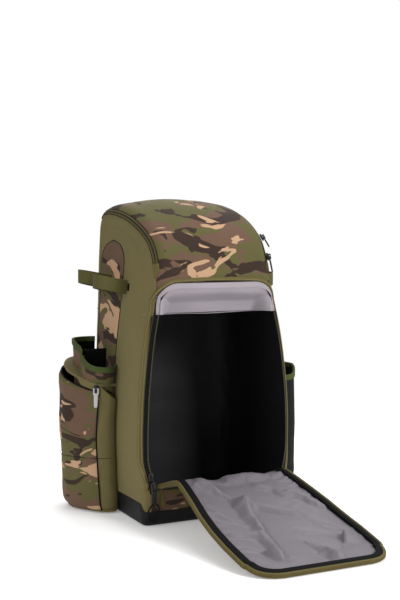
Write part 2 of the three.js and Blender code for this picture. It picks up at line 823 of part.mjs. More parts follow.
function sleeveLevels(bottom, extra) {
  return [
    { sizes: sleeveFootSizes, height: flat(bottom) },
    { sizes: sleeveLowSizes, height: flat(bottom + 40) },
    { sizes: sleeveLowSizes, height: flat(pocketTopRoot - 26) },
    { sizes: sleeveMiddleSizes, height: flat(pocketTopRoot + 4) },
    { sizes: sleeveSizes, height: sleeveRim },
    ...(extra ? [{ sizes: sleeveSizes, height: (y) => sleeveRim(y) + extra }] : []),
  ];
}
function sleeve(side) {
  const sink = 14;
  const outside = pouchLoft(side, sleeveLevels(sleeveBottom, 0), onBody, 0, sink);
  const inside = pouchLoft(side, sleeveLevels(sleeveBottom + wall, 30), onBody, wall, sink);
  const middle = (sleeveFront + sleeveRear) / 2;
  const divider = box(-far, far, middle - wall / 2, middle + wall / 2, 0, bodyHeight);
  return mainBody(outside.subtract(inside.subtract(divider)).subtract(clearBody));
}
function sleeveOutside(side, grow) {
  return pouchLoft(side, sleeveLevels(sleeveBottom - grow, 60), onBody, -grow, 14);
}

// An elastic band round the outside of a pouch's rim.
function rimBinding(side, sizes, rim, attach, height, thickness, around) {
  const grid = (lift) =>
    [-height, 0].map((down) => {
      const line = [];
      for (let i = 0; i <= POUCH_STEPS; i++) {
        const [out, y] = pouchPoint(sizes, i / POUCH_STEPS, -lift);
        const z = rim(y) + down;
        line.push(new THREE.Vector3(side * (attach(y, z) + out), y, z));
      }
      return line;
    });
  return mainBody(sheet(grid(gap + thickness), grid(gap)).subtract(around));
}

// An elastic loop that holds one bat against the side.
function batStrap(side, front, rear) {
  const sizes = { front, rear, depth: strapReach, squareness: 2.4, tuck: 0, dip: 0 };
  const middle = (y, out) => strapHeight + strapRise * clamp01(out / strapReach) + (rear > 80 ? 8 : 0);
  const grid = (inset) =>
    [-0.5, 0.5].map((half) => {
      const line = [];
      for (let i = 0; i <= 16; i++) {
        const [out, y] = pouchPoint(sizes, i / 16, inset);
        const z = middle(y, out) + half * strapWidth;
        line.push(new THREE.Vector3(side * (halfWidth(y, z) + out - (i % 16 ? 0 : 3)), y, z));
      }
      return line;
    });
  return mainBody(sheet(grid(0), grid(strapThickness)).subtract(clearBody));
}

// The zipped pocket on the outside of the left sleeve. Its front edge, behind the gusset, is narrow
// and its face swells to the rear.
const pocketSizes = {
  front: pocketFront,
  rear: pocketRear,
  depth: pocketDepth,
  squareness: 3.4,
  tuck: 8,
  dip: 0,
};
function pocketPoint(angle, inset) {
  const [out, y] = pouchPoint(pocketSizes, angle, inset);
  const share = clamp01((y - pocketFront) / (pocketRear - pocketFront));
  const swell = 0.5 * smooth(share * 1.5) + 0.5 * Math.min(1, share * 1.6);
  const slim = lerp(gussetWidth / pocketDepth, 1, swell);
  return [out * Math.min(1, slim + 0.06), y];
}
// How far the pocket's front edge leans forward over its lower part.
const pocketLean = 11;
function pocketLeanAt(y, z) {
  return pocketLean * smooth((z - 120) / 120) * clamp01(1 - (y - pocketFront) / 90);
}
function pocketLoft(inset, bottom, lift) {
  const levels = [
    { shrink: 0.86, height: () => bottom },
    { shrink: 0.96, height: () => bottom + 14 },
    { shrink: 1.0, height: (y, out) => lerp(bottom, pocketTop(y, out), 0.3) },
    { shrink: 1.02, height: (y, out) => lerp(bottom, pocketTop(y, out), 0.62) },
    { shrink: 0.97, height: (y, out) => pocketTop(y, out) - 22 + lift },
    { shrink: 0.84, height: (y, out) => pocketTop(y, out) + lift },
  ];
  return loft(
    levels.map(({ shrink, height }) => {
      const ring = [];
      for (let i = 0; i <= POUCH_STEPS; i++) {
        const [out, y] = pocketPoint(i / POUCH_STEPS, inset);
        const z = height(y, out);
        ring.push(new THREE.Vector3(-(halfWidth(y, z) + out * shrink), y - pocketLeanAt(y, z), z));
      }
      const first = ring[0];
      const last = ring[ring.length - 1];
      ring.push(new THREE.Vector3(last.x + 14, last.y, last.z));
      ring.push(new THREE.Vector3(first.x + 14, first.y, first.z));
      return ring;
    }),
  );
}
const pocketShell = pocketLoft(0, pocketBottom, 0)
  .subtract(pocketLoft(wall, pocketBottom + wall, -wall))
  .subtract(clearBody)
  .subtract(sleeveOutside(-1, gap * 1.5));

// Side-view regions: the camouflage face, and the slot left open by the part-drawn zipper.
const faceBand = 15;
function faceRegion(grow) {
  const front = pocketFront + 8 - grow;
  const top = (y) => pocketTop(y) - faceBand + grow;
  return prismX(
    [[front, -far], [far, -far], [far, top(pocketRear) + 20], [pocketRear, top(pocketRear)],
      [front - pocketLean, top(pocketFront - pocketLean)], [front - pocketLean, pocketTopFront - 15],
      [front, pocketBottom + 125]],
    -far,
    -60,
  );
}
const pocketFace = mainBody(pocketShell.intersect(faceRegion(0)));
const mouthFront = 44;
const mouthDepth = 29.4;
const pocketMouth = prismX(
  [[mouthFront, pocketTop(mouthFront) - faceBand], [pocketRear - 12, pocketTop(pocketRear - 12) - faceBand],
    [pocketRear - 12, pocketTop(pocketRear - 12) - 4], [mouthFront + 8, pocketTop(mouthFront + 8) - 4]],
  -far,
  -halfWidth(mouthFront, pocketTopFront) - mouthDepth,
);
const pocketGusset = mainBody(pocketShell.subtract(faceRegion(gap)).subtract(pocketMouth));

// The bottle pocket of black mesh on the outside of the right sleeve.
const bottleSizes = {
  front: bottleFront,
  rear: bottleRear,
  depth: bottleDepth,
  squareness: 2.6,
  tuck: 0,
  dip: 0,
};
const bottleFootSizes = {
  ...bottleSizes,
  front: bottleFront + 6,
  rear: bottleRear - 6,
  depth: bottleDepth - 8,
};
const bottleRim = (y) => bottleRimFront + bottleRimRise * smooth((y - bottleFront) / 42);
const onSleeve = (y, z) => halfWidth(y, z) + sleeveDepth - 8;
function bottleLoft(inset, bottom, extra) {
  const levels = [
    { sizes: bottleFootSizes, height: flat(bottom) },
    { sizes: bottleSizes, height: flat(bottom + 22) },
    { sizes: bottleSizes, height: flat(150) },
    { sizes: bottleSizes, height: (y) => bottleRim(y) + extra },
  ];
  return pouchLoft(1, levels, () => onSleeve(60, 150), inset, 70);
}
const bottlePocket = mainBody(
  bottleLoft(0, bottleBottom, 0)
    .subtract(bottleLoft(wall, bottleBottom + wall, 30))
    .subtract(clearBody)
    .subtract(sleeveOutside(1, gap * 1.5)),
);

const bottleBinding = rimBinding(
  1,
  bottleSizes,
  bottleRim,
  () => onSleeve(60, 150),
  bindingHeight,
  bindingThickness,
  sleeveOutside(1, gap * 1.5).add(clearBody),
);

// The back pad, slightly rounded at its corners, flat on the wearer's side.
function roundedOutline(halfX, low, high, r) {
  const outline = [];
  const x = halfX - r;
  const corners = [[x, high - r, 0], [-x, high - r, 1], [-x, low + r, 2], [x, low + r, 3]];
  for (const [cx, cz, quarter] of corners) {
    for (let i = 0; i <= 4; i++) {
      const a = ((quarter + i / 4) * Math.PI) / 2;
      outline.push([cx + r * Math.cos(a), cz + r * Math.sin(a)]);
    }
  }
  return outline;
}
const padFace = backFace + gap + padThickness;
const backPad = prismY(roundedOutline(padHalfWidth, padBottom, padTop, 30), backFace + gap, padFace);

// A band that follows a side-view route at a fixed or slanting x, such as a shoulder strap.
function routeBand(route, width, thickness) {
  const curve = new THREE.CatmullRomCurve3(route.map(([x, y, z]) => new THREE.Vector3(x, y, z)));
  const steps = route.length * 3;
  const stations = [];
  for (let i = 0; i <= steps; i++) {
    const t = i / steps;
    const along = curve.getTangentAt(t);
    const across = X.clone().addScaledVector(along, -along.x).normalize();
    const out = new THREE.Vector3().crossVectors(across, along).normalize();
    stations.push({ place: curve.getPointAt(t), across, out });
  }
  return band(stations, width, thickness);
}
// Shoulder strap route: spread from the middle, behind the pad's face, and up as a share of padTop. It
// rises from its root on the back panel, turns over and hangs down.
const shoulderRows = [
  { spread: 72, behind: -2.7, up: 1.014 },
  { spread: 72, behind: -2.7, up: 1.054 },
  { spread: 73, behind: 8, up: 1.086 },
  { spread: 75, behind: 26, up: 1.084 },
  { spread: 78, behind: 40, up: 1.02 },
  { spread: 82, behind: 46, up: 0.846 },
  { spread: 86, behind: 42, up: 0.673 },
  { spread: 88, behind: 32, up: 0.51 },
  { spread: 88, behind: 24, up: 0.408 },
];
const shoulderRoute = (side) =>
  shoulderRows.map(({ spread, behind, up }) => [side * spread, padFace + behind, up * padTop]);
const padClear = prismY(
  roundedOutline(padHalfWidth + gap, padBottom - gap, padTop + gap, 30),
  backFace - 20,
  backFace + gap * 2 + padThickness,
);
const shoulderStrap = (side) =>
  mainBody(
    routeBand(shoulderRoute(side), shoulderWidth, shoulderThickness).subtract(padClear).subtract(clearBody),
  );
const webbingRows = [
  { spread: 88, behind: 22, up: 0.352 },
  { spread: 90, behind: 19, up: 0.29 },
  { spread: 93, behind: 10, up: 0.22 },
  { spread: 95, behind: 0.5, up: 0.172 },
  { spread: 95, behind: 0.5, up: 0.15 },
];
const lowerWebbing = (side) =>
  routeBand(
    webbingRows.map(({ spread, behind, up }) => [side * spread, padFace + behind, up * padTop]),
    webbingWidth,
    webbingThickness,
  );
const buckleWidth = 34;
const buckleHeight = 24;
const buckleThickness = 4;
const buckleSlotHeight = 4;
const buckleSlotSpread = 6;
function buckle(side) {
  const x = side * 88;
  const y = padFace + 24;
  const z = 0.376 * padTop;
  const plate = box(
    x - buckleWidth / 2,
    x + buckleWidth / 2,
    y,
    y + buckleThickness,
    z - buckleHeight / 2,
    z + buckleHeight / 2,
  );
  const slotHalf = buckleWidth / 2 - 4;
  const slotAt = (middle) =>
    box(
      x - slotHalf,
      x + slotHalf,
      y - 5,
      y + buckleThickness + 5,
      middle - buckleSlotHeight / 2,
      middle + buckleSlotHeight / 2,
    );
  return plate.subtract(slotAt(z + buckleSlotSpread)).subtract(slotAt(z - buckleSlotSpread));
}
const haulRows = [
  { x: -29, behind: 0.5, up: 0.896 },
  { x: -29, behind: 0.8, up: 0.912 },
  { x: -27, behind: 7, up: 0.935 },
  { x: -16, behind: 17, up: 0.955 },
  { x: 0, behind: 21, up: 0.961 },
  { x: 16, behind: 17, up: 0.955 },
  { x: 27, behind: 7, up: 0.935 },
  { x: 29, behind: 0.8, up: 0.912 },
  { x: 29, behind: 0.5, up: 0.896 },
];
const haulWidth = 22;
const haulThickness = 2.4;
function haulLoop() {
  const curve = new THREE.CatmullRomCurve3(
    haulRows.map(({ x, behind, up }) => new THREE.Vector3(x, backFace + behind, up * bodyHeight)),
  );
  const stations = [];
  for (let i = 0; i <= 20; i++) {
    const along = curve.getTangentAt(i / 20);
    const across = new THREE.Vector3().crossVectors(along, Y).normalize();
    stations.push({
      place: curve.getPointAt(i / 20),
      across,
      out: new THREE.Vector3().crossVectors(across, along).normalize().negate(),
    });
  }
  return band(stations, haulWidth, haulThickness).subtract(clearBody);
}

// Zipper hardware, built with Y along the zipper, Z out of it and the slider's middle at the origin.
function block(width, low, high, bottom, top) {
  const geometry = new THREE.BoxGeometry(width, high - low, top - bottom);
  return solidOf(geometry.translate(0, (high + low) / 2, (top + bottom) / 2));
}
const sliderBridge = 8.4;
function sliderShape() {
  const plan = [[-3.6, -7], [3.6, -7], [5, 1], [4.4, 7], [-4.4, 7], [-5, 1]];
  const body = prismZ(plan, 0, 3.6);
  const bridge = block(3, -5.5, 5.5, 3.2, sliderBridge).subtract(block(9, -3.4, 3.4, 3.6, 6.8));
  return body.add(bridge);
}
const pullBottom = 4.3;
const pullTop = 6.2;
function pullShape(width, length) {
  const bar = block(11, -1, 1, pullBottom, pullTop);
  const arms = block(11, -11, 1, pullBottom, pullTop).subtract(block(5, -9, -1, 0, 20));
  const taper = width / 2;
  const plan = [[-taper, -8.5], [-taper * 0.86, -length + 3], [-taper * 0.5, -length],
    [taper * 0.5, -length], [taper * 0.86, -length + 3], [taper, -8.5]];
  return joined([bar, arms, prismZ(plan, pullBottom - 0.3, pullTop + 0.4)]);
}
const linkLength = 37;
function linkShape() {
  return pullShape(10, linkLength).subtract(block(5.6, -linkLength + 2.2, -linkLength + 8.5, 0, 20));
}
// A round cord along a closed line.
function cordLoop(points, radius) {
  const curve = new THREE.CatmullRomCurve3(points, true);
  const count = points.length + 6;
  const frames = curve.computeFrenetFrames(count, true);
  const sides = 5;
  const vertices = [];
  const faces = [];
  for (let i = 0; i < count; i++) {
    const place = curve.getPointAt(i / count);
    for (let k = 0; k < sides; k++) {
      const a = (k / sides) * Math.PI * 2;
      vertices.push(
        place
          .clone()
          .addScaledVector(frames.normals[i], radius * Math.cos(a))
          .addScaledVector(frames.binormals[i], radius * Math.sin(a)),
      );
    }
    const next = ((i + 1) % count) * sides;
    for (let k = 0; k < sides; k++) {
      const m = (k + 1) % sides;
      faces.push([i * sides + k, i * sides + m, next + m], [i * sides + k, next + m, next + k]);
    }
  }
  return solidFrom(vertices, faces);
}
// The pull cord: a ring that passes through the link's slot from back to front.
const cordRadius = 1.5;
function pullCord() {
  const middle = -linkLength - 12;
  const points = [];
  for (let i = 0; i < 14; i++) {
    const t = lerp(0.16, Math.PI * 2 - 0.16, i / 13);
    const depth = (pullBottom + pullTop) / 2 + 4.2 * Math.cos(t / 2);
    points.push(new THREE.Vector3(13.5 * Math.sin(t), middle + 17.5 * Math.cos(t), depth));
  }
  return cordLoop(points, cordRadius);
}

// Materials, one for each finish.
const finish = (color, roughness, metalness = 0) =>
  new THREE.MeshStandardMaterial({ color, roughness, metalness, side: THREE.DoubleSide });
const olive = finish(0x6b6437, 0.9);
const camouflage = finish(0x5a5036, 0.9);
const coatedBase = finish(0x25262a, 0.7);
const greyLining = finish(0x85818a, 0.7);
const blackTape = finish(0x17171a, 0.85);
const oliveTape = finish(0x5c5530, 0.85);
const greenElastic = finish(0x43502b, 0.9);
const oliveWebbing = finish(0x4b4a2c, 0.9);
const blackMesh = finish(0x1b1b1e, 0.9);
const blackFoam = finish(0x1e1e20, 0.95);
const gunmetal = finish(0x5b5a5c, 0.35, 0.9);
const greyRubber = finish(0xb9b7b8, 0.6);
const blackPlastic = finish(0x141416, 0.5);

const bag = new THREE.Group();
function addPiece(name, solid, material) {
  const mesh = solid.getMesh();
  const stride = mesh.numProp;
  const positions = new Float32Array(mesh.numVert * 3);
  for (let i = 0; i < mesh.numVert; i++) {
    positions.set(mesh.vertProperties.subarray(i * stride, i * stride + 3), i * 3);
  }
  const geometry = new THREE.BufferGeometry();
  geometry.setAttribute("position", new THREE.BufferAttribute(positions, 3));
  geometry.setIndex(new THREE.BufferAttribute(new Uint32Array(mesh.triVerts), 1));
  geometry.computeVertexNormals();
  const piece = new THREE.Mesh(geometry, material);
  piece.name = name;
  bag.add(piece);
  return piece;
}
// Puts a piece at a place, with its Y along the zipper and its Z out of it.
function placeOn(piece, place, along, out) {
  const z = out.clone().normalize();
  const y = along.clone().addScaledVector(z, -along.dot(z)).normalize();
  const x = new THREE.Vector3().crossVectors(y, z);
  piece.quaternion.setFromRotationMatrix(new THREE.Matrix4().makeBasis(x, y, z));
  piece.position.copy(place);
}

addPiece("base_tub", mainBody(baseTub), coatedBase);
addPiece("front_sill", mainBody(frontSill), camouflage);
addPiece("side_panel_left", sidePanel(-1), olive);
addPiece("side_panel_right", sidePanel(1), olive);
addPiece("side_inset_right", rightInset, camouflage);
// The left inset is the right one's mirror image.
addPiece("side_inset_left", rightInset, camouflage).scale.x = -1;
addPiece("hood_panel", mainBody(hoodPanel), camouflage);
addPiece("back_panel", mainBody(backPanel), olive);
addPiece("divider_panel", mainBody(dividerPiece()), greyLining);
addPiece("door_panel", doorPanel(), greyLining);
addPiece("door_rim", doorRim(0, doorRimWidth, 0.8, 0.8 + doorRimThickness), oliveTape);
addPiece("opening_binding", mainBody(openingBinding), oliveTape);
addPiece("opening_zipper_tape", mainBody(openingTape), blackTape);
addPiece("hood_zipper", hoodZipper, oliveTape);

for (const [label, side] of [["left", -1], ["right", 1]]) {
  addPiece(`bat_sleeve_${label}`, sleeve(side), camouflage);
  addPiece(
    `sleeve_binding_${label}`,
    rimBinding(side, sleeveSizes, sleeveRim, onBody, bindingHeight, bindingThickness, clearBody),
    greenElastic,
  );
  addPiece(`bat_strap_${label}_front`, batStrap(side, -14, 46), oliveWebbing);
  addPiece(`bat_strap_${label}_rear`, batStrap(side, 52, 114), oliveWebbing);
  addPiece(`shoulder_strap_${label}`, shoulderStrap(side), blackFoam);
  addPiece(`strap_webbing_${label}`, lowerWebbing(side), oliveWebbing);
  addPiece(`strap_buckle_${label}`, buckle(side), blackPlastic);
}
addPiece("pocket_face_left", pocketFace, camouflage);
addPiece("pocket_gusset_left", pocketGusset, olive);
addPiece("bottle_pocket_right", bottlePocket, blackMesh);
addPiece("bottle_binding_right", bottleBinding, greenElastic);
addPiece("back_pad", backPad, blackFoam);
addPiece("haul_loop", mainBody(haulLoop()), oliveWebbing);

// Two sliders on the hood's zipper, on the right of the front, each with its pull hanging down.
const zipperLift = 3.1;
for (const [label, drop] of [["upper", 56], ["lower", 96]]) {
  const { place, out, along } = seamAt(1, bodyHeight - drop);
  const at = place.addScaledVector(out, zipperLift);
  placeOn(addPiece(`hood_slider_${label}`, sliderShape(), gunmetal), at, along, out);
  placeOn(addPiece(`hood_pull_${label}`, pullShape(9, 32), gunmetal), at, along, out);
}

// Two sliders at the lower left end of the front zipper. A link and a cord hang from the lower one.
const tapeMiddle = -zipperTapeWidth * 0.5 - edgeStep;
for (const [label, rise] of [["upper", 27], ["lower", 9]]) {
  const height = sillHeight + rise;
  const x = -archHalf(height) - tapeMiddle;
  const out = Y.clone().negate();
  const at = new THREE.Vector3(x, surfaceFront(x, height) - zipperTapeThickness - 1.9, height);
  placeOn(addPiece(`door_slider_${label}`, sliderShape(), gunmetal), at, Z, out);
  if (label === "lower") {
    placeOn(addPiece("door_pull_link", linkShape(), gunmetal), at, Z, out);
    placeOn(addPiece("door_pull_cord", pullCord(), blackPlastic), at, Z, out);
  }
}

// The slider and pull of the left pocket, parked at the front end of its open mouth.
const pocketSliderY = pocketFront + 2.4;
const pocketSliderZ = pocketTopFront - 4;
const pocketSliderReach = 40.9;
const pocketSliderAt = new THREE.Vector3(
  -halfWidth(pocketSliderY, pocketSliderZ) - pocketSliderReach,
  pocketSliderY,
  pocketSliderZ,
);
const pocketSliderOut = new THREE.Vector3(-0.55, -0.83, 0.1);
placeOn(addPiece("pocket_slider_left", sliderShape(), gunmetal), pocketSliderAt, Z, pocketSliderOut);
placeOn(addPiece("pocket_pull_left", pullShape(8, 36), greyRubber), pocketSliderAt, Z, pocketSliderOut);

export default bag;
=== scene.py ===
import math

import bmesh
import bpy
import numpy as np
from mathutils import Matrix, Vector, noise


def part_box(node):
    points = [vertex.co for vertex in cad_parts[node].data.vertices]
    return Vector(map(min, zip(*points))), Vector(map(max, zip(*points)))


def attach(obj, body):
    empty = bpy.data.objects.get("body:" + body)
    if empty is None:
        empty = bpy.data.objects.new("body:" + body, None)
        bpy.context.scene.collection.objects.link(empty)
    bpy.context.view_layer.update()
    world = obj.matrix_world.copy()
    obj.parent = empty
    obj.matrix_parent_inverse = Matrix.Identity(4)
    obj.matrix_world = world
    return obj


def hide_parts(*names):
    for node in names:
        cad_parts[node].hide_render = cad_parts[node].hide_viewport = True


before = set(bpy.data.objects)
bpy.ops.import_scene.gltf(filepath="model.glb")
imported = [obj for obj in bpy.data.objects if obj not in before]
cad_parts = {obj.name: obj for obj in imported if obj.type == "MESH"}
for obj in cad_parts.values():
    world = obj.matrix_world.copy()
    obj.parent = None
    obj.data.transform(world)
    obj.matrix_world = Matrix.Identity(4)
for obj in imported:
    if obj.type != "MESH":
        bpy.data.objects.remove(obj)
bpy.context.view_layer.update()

# Camera. A standing eye looks slightly down at the bag's front left corner from about two metres.
# Its place and lens give the same view of the bag as the photograph.
camera_azimuth = math.radians(-26.9)
camera_elevation = math.radians(3.4)
camera_data = bpy.data.cameras.new("camera")
camera_data.lens = 66.62
camera_data.sensor_width = 36
camera = bpy.data.objects.new("camera", camera_data)
bpy.context.scene.collection.objects.link(camera)
camera.location = (-0.9848, -1.9855, 0.5432)
backwards = Vector((
    math.sin(camera_azimuth) * math.cos(camera_elevation),
    -math.cos(camera_azimuth) * math.cos(camera_elevation),
    math.sin(camera_elevation),
))
camera.rotation_euler = (-backwards).to_track_quat("-Z", "Y").to_euler()
bpy.context.scene.camera = camera

# Floor and lights. A seamless white floor that fades into the room, with soft boxes at the front right,
# overhead, at the left and behind. The room is white to the eye and lights the bag evenly but weakly.
floor_shape = bmesh.new()
bmesh.ops.create_grid(floor_shape, x_segments=1, y_segments=1, size=1.6)
floor_mesh = bpy.data.meshes.new("floor")
floor_shape.to_mesh(floor_mesh)
floor_shape.free()
floor = bpy.data.objects.new("floor", floor_mesh)
bpy.context.scene.collection.objects.link(floor)
floor_paper = bpy.data.materials.new("floor_paper")
floor_paper.use_nodes = True
paper_shader = floor_paper.node_tree.nodes["Principled BSDF"]
paper_shader.inputs["Base Color"].default_value = (0.96, 0.96, 0.96, 1)
paper_shader.inputs["Roughness"].default_value = 0.9
paper_shader.inputs["Emission Color"].default_value = (1, 1, 1, 1)
paper_shader.inputs["Emission Strength"].default_value = 0.2
paper_nodes, paper_links = floor_paper.node_tree.nodes, floor_paper.node_tree.links
paper_place = paper_nodes.new("ShaderNodeTexCoord")
paper_far = paper_nodes.new("ShaderNodeVectorMath")
paper_far.operation = "LENGTH"
paper_fade = paper_nodes.new("ShaderNodeMapRange")
paper_fade.inputs["From Min"].default_value = 0.7
paper_fade.inputs["From Max"].default_value = 1.5
paper_clear = paper_nodes.new("ShaderNodeBsdfTransparent")
paper_mix = paper_nodes.new("ShaderNodeMixShader")
for source, target in (
    (paper_place.outputs["Object"], paper_far.inputs[0]),
    (paper_far.outputs["Value"], paper_fade.inputs["Value"]),
    (paper_fade.outputs["Result"], paper_mix.inputs[0]),
    (paper_shader.outputs[0], paper_mix.inputs[1]),
    (paper_clear.outputs[0], paper_mix.inputs[2]),
    (paper_mix.outputs[0], paper_nodes["Material Output"].inputs["Surface"]),
):
    paper_links.new(source, target)
floor_mesh.materials.append(floor_paper)

for label, place, aim, width, power in (
    ("key", (1.1, -2.4, 1.5), (0, 0, 0.25), 0.8, 62),
    ("top", (0.6, 0.5, 2.6), (0, -0.1, 0.2), 1.0, 26),
    ("left", (-2.6, -0.6, 1.5), (0, 0, 0.3), 1.4, 24),
    ("back", (0.8, 2.6, 1.6), (0, 0, 0.3), 1.6, 34),
):
    light_data = bpy.data.lights.new(label, "AREA")
    light_data.shape = "SQUARE"
    light_data.size = width
    light_data.energy = power
    light = bpy.data.objects.new(label, light_data)
    light.location = place
    light.rotation_euler = (Vector(aim) - Vector(place)).to_track_quat("-Z", "Y").to_euler()
    bpy.context.scene.collection.objects.link(light)
room = bpy.data.worlds.new("room")
room.use_nodes = True
room_nodes = room.node_tree.nodes
room_light, room_white = room_nodes["Background"], room_nodes.new("ShaderNodeBackground")
for background, strength in ((room_light, 0.42), (room_white, 1.0)):
    background.inputs["Color"].default_value = (1, 1, 1, 1)
    background.inputs["Strength"].default_value = strength
seen = room_nodes.new("ShaderNodeLightPath")
room_mix = room_nodes.new("ShaderNodeMixShader")
for source, target in (
    (seen.outputs["Is Camera Ray"], room_mix.inputs[0]),
    (room_light.outputs[0], room_mix.inputs[1]),
    (room_white.outputs[0], room_mix.inputs[2]),
    (room_mix.outputs[0], room_nodes["World Output"].inputs["Surface"]),
):
    room.node_tree.links.new(source, target)
bpy.context.scene.world = room
bpy.context.scene.view_settings.view_transform = "Standard"

# Side panels. Olive 600 denier cloth over thin foam, one on each side, sewn to the hood, the back and
# the base. Each is laid as a horseshoe round the arched inset, from its seam over the body's round
# edge and in to a line that the inset covers, and it is lined in black.
MM = 0.001
SIDES = (("left", -1), ("right", 1))
BODY_HEIGHT = 597.0
BODY_HALF = 161.5
FRONT, BACK = -128.0, 128.0
SIDE_BULGE = 4.0
LEVELS = np.arange(-60.0, 680.0, 2.0)
WIDTHS = (
    (0.0, 0.98, 0.935), (0.142, 0.99, 0.955), (0.276, 1.0, 0.97), (0.402, 0.982, 0.975),
    (0.519, 0.936, 0.97), (0.603, 0.889, 0.96), (0.693, 0.812, 0.945), (0.822, 0.756, 0.93),
    (1.0, 0.738, 0.895),
)


def eased_widths(column):
    ups = [row[0] * BODY_HEIGHT for row in WIDTHS]
    raw = np.interp(LEVELS, ups, [row[column] * BODY_HALF for row in WIDTHS])
    padded = np.concatenate([np.full(12, raw[0]), raw, np.full(12, raw[-1])])
    return np.convolve(padded, np.ones(25) / 25, "valid")


front_widths, back_widths = eased_widths(1), eased_widths(2)


def clamp(value, low=0.0, high=1.0):
    return min(high, max(low, value))


def mix(a, b, share):
    return a + (b - a) * share


def smooth(share):
    share = clamp(share)
    return share * share * (3 - 2 * share)


def half_width(y, z):
    share = clamp((y - FRONT) / (BACK - FRONT))
    bulge = SIDE_BULGE * math.sin(math.pi * share) * math.sin(math.pi * clamp(z / BODY_HEIGHT))
    return mix(np.interp(z, LEVELS, front_widths), np.interp(z, LEVELS, back_widths), share) + bulge


HOOD_ROWS = (
    (0.004, 0.1), (0.0, 0.25), (0.0, 0.4), (0.014, 0.585), (0.038, 0.732), (0.08, 0.822),
    (0.122, 0.863), (0.188, 0.899), (0.273, 0.926), (0.383, 0.951), (0.52, 0.975), (0.676, 0.992),
    (0.832, 1.0), (0.922, 0.992), (0.977, 0.968),
)


def curve_through(knots, steps):
    """Points of a smooth curve through knots, with the same number of steps between each two."""
    points = []
    last = len(knots) - 1
    for k in range(last):
        a, b, c, d = knots[max(k - 1, 0)], knots[k], knots[k + 1], knots[min(k + 2, last)]
        m, n = (c - a) / 2, (d - b) / 2
        for i in range(steps):
            t = i / steps
            points.append((2 * b - 2 * c + m + n) * t ** 3 + (-3 * b + 3 * c - 2 * m - n) * t ** 2
                          + m * t + b)
    return points + [knots[-1]]


def hood_line():
    """The body in side view: up the front, over the hood and down the back, at even steps."""
    foot = [(-118 - 8 * math.sin(a), 8 - 8 * math.cos(a)) for a in np.linspace(0, math.pi / 2, 7)]
    knots = [foot[-1]] + [(FRONT + b * 256, u * BODY_HEIGHT) for b, u in HOOD_ROWS]
    curve = [tuple(point) for point in curve_through([Vector(knot) for knot in knots], 12)]
    rear = [(127.2, 560), (BACK, 540), (BACK, 8)]
    heel = [(120 + 8 * math.cos(a), 8 - 8 * math.sin(a)) for a in np.linspace(0.2, math.pi / 2, 7)]
    line = np.array(foot[:-1] + curve + rear + heel)
    lengths = np.concatenate([[0], np.cumsum(np.hypot(*np.diff(line, axis=0).T))])
    even = np.linspace(0, lengths[-1], 500)
    dense = np.stack([np.interp(even, lengths, line[:, 0]), np.interp(even, lengths, line[:, 1])], 1)
    for _ in range(6):
        dense[1:-1] = dense[:-2] * 0.25 + dense[1:-1] * 0.5 + dense[2:] * 0.25
    return even, dense


hood_steps, hood_points = hood_line()
hood_runs = np.gradient(hood_points, axis=0)
hood_runs /= np.linalg.norm(hood_runs, axis=1)[:, None]


def station(s):
    """Place and outward direction of the side view's outline at a length along it."""
    y, z = (np.interp(s, hood_steps, hood_points[:, i]) for i in (0, 1))
    run_y, run_z = (np.interp(s, hood_steps, hood_runs[:, i]) for i in (0, 1))
    size = math.hypot(run_y, run_z)
    return y, z, -run_z / size, run_y / size


def step_at(height, rear=False):
    """The length along the outline at which it passes a height, on the front or on the back."""
    order = np.arange(len(hood_steps))
    peak = int(np.argmax(hood_points[:, 1]))
    if rear:
        order = order[peak:][::-1]
    else:
        order = order[:peak]
    return float(np.interp(height, hood_points[order, 1], hood_steps[order]))


def edge_radius(y, z):
    return mix(8, mix(28, 20, smooth((y - 88) / 30)), smooth(z / 60))


OPENING_TOP, OPENING_SILL, ARCH_RADIUS = 452.0, 66.0, 46.0


def opening_half(z):
    shoulder = OPENING_TOP - ARCH_RADIUS
    if z <= shoulder:
        return half_width(FRONT, z) - 5 - 9 * (1 - smooth((z - OPENING_SILL) / 60))
    rise = clamp((z - shoulder) / ARCH_RADIUS)
    return half_width(FRONT, shoulder) - 5 - ARCH_RADIUS * (1 - math.sqrt(1 - rise * rise))


def seam_turn(y, z):
    """How far round the body's edge the side panel's seam lies: 0 faces front or up, 90 faces out."""
    half, radius = half_width(y, z), edge_radius(y, z)
    if y > 100:
        reach = half - 5
    elif y > -85 or z > 490:
        reach = half - 5.9
    elif z < OPENING_SILL:
        reach = opening_half(OPENING_SILL) - 4
    else:
        reach = opening_half(z) if z < 404 else half - 5.9
    return math.asin(clamp(1 - (half - reach) / radius, 0.02, 1))


def crown(z, share):
    return 17 * (1 - share ** 2) * smooth((z - 0.79 * BODY_HEIGHT) / 100)


def skin(s, side, turn, lift=0.0):
    """A point of the body's round edge, lift outside it."""
    y, z, out_y, out_z = station(s)
    radius = edge_radius(y, z)
    inset = radius * (1 - math.cos(turn)) - lift * math.cos(turn)
    half = half_width(y, z)
    reach = half - radius * (1 - math.sin(turn))
    rise = crown(z, reach / half)
    return (side * (reach + lift * math.sin(turn)), y - out_y * inset, z - out_z * inset + rise)


def laid(name, across, along, place, size, closed=False):
    """A cloth laid out as a grid. place gives millimetres for shares across and along, and size is
    the cloth's flat size in millimetres, for its weave."""
    shape = bmesh.new()
    bmesh.ops.create_grid(shape, x_segments=across, y_segments=along, size=0.5)
    flat = shape.loops.layers.uv.new("flat")
    for face in shape.faces:
        for corner in face.loops:
            at = corner.vert.co
            corner[flat].uv = ((at.x + 0.5) * size[0] * MM, (at.y + 0.5) * size[1] * MM)
    for vertex in shape.verts:
        vertex.co = Vector(place(vertex.co.x + 0.5, vertex.co.y + 0.5)) * MM
    if closed:
        bmesh.ops.remove_doubles(shape, verts=shape.verts, dist=0.00002)
    return piece_from(name, shape)


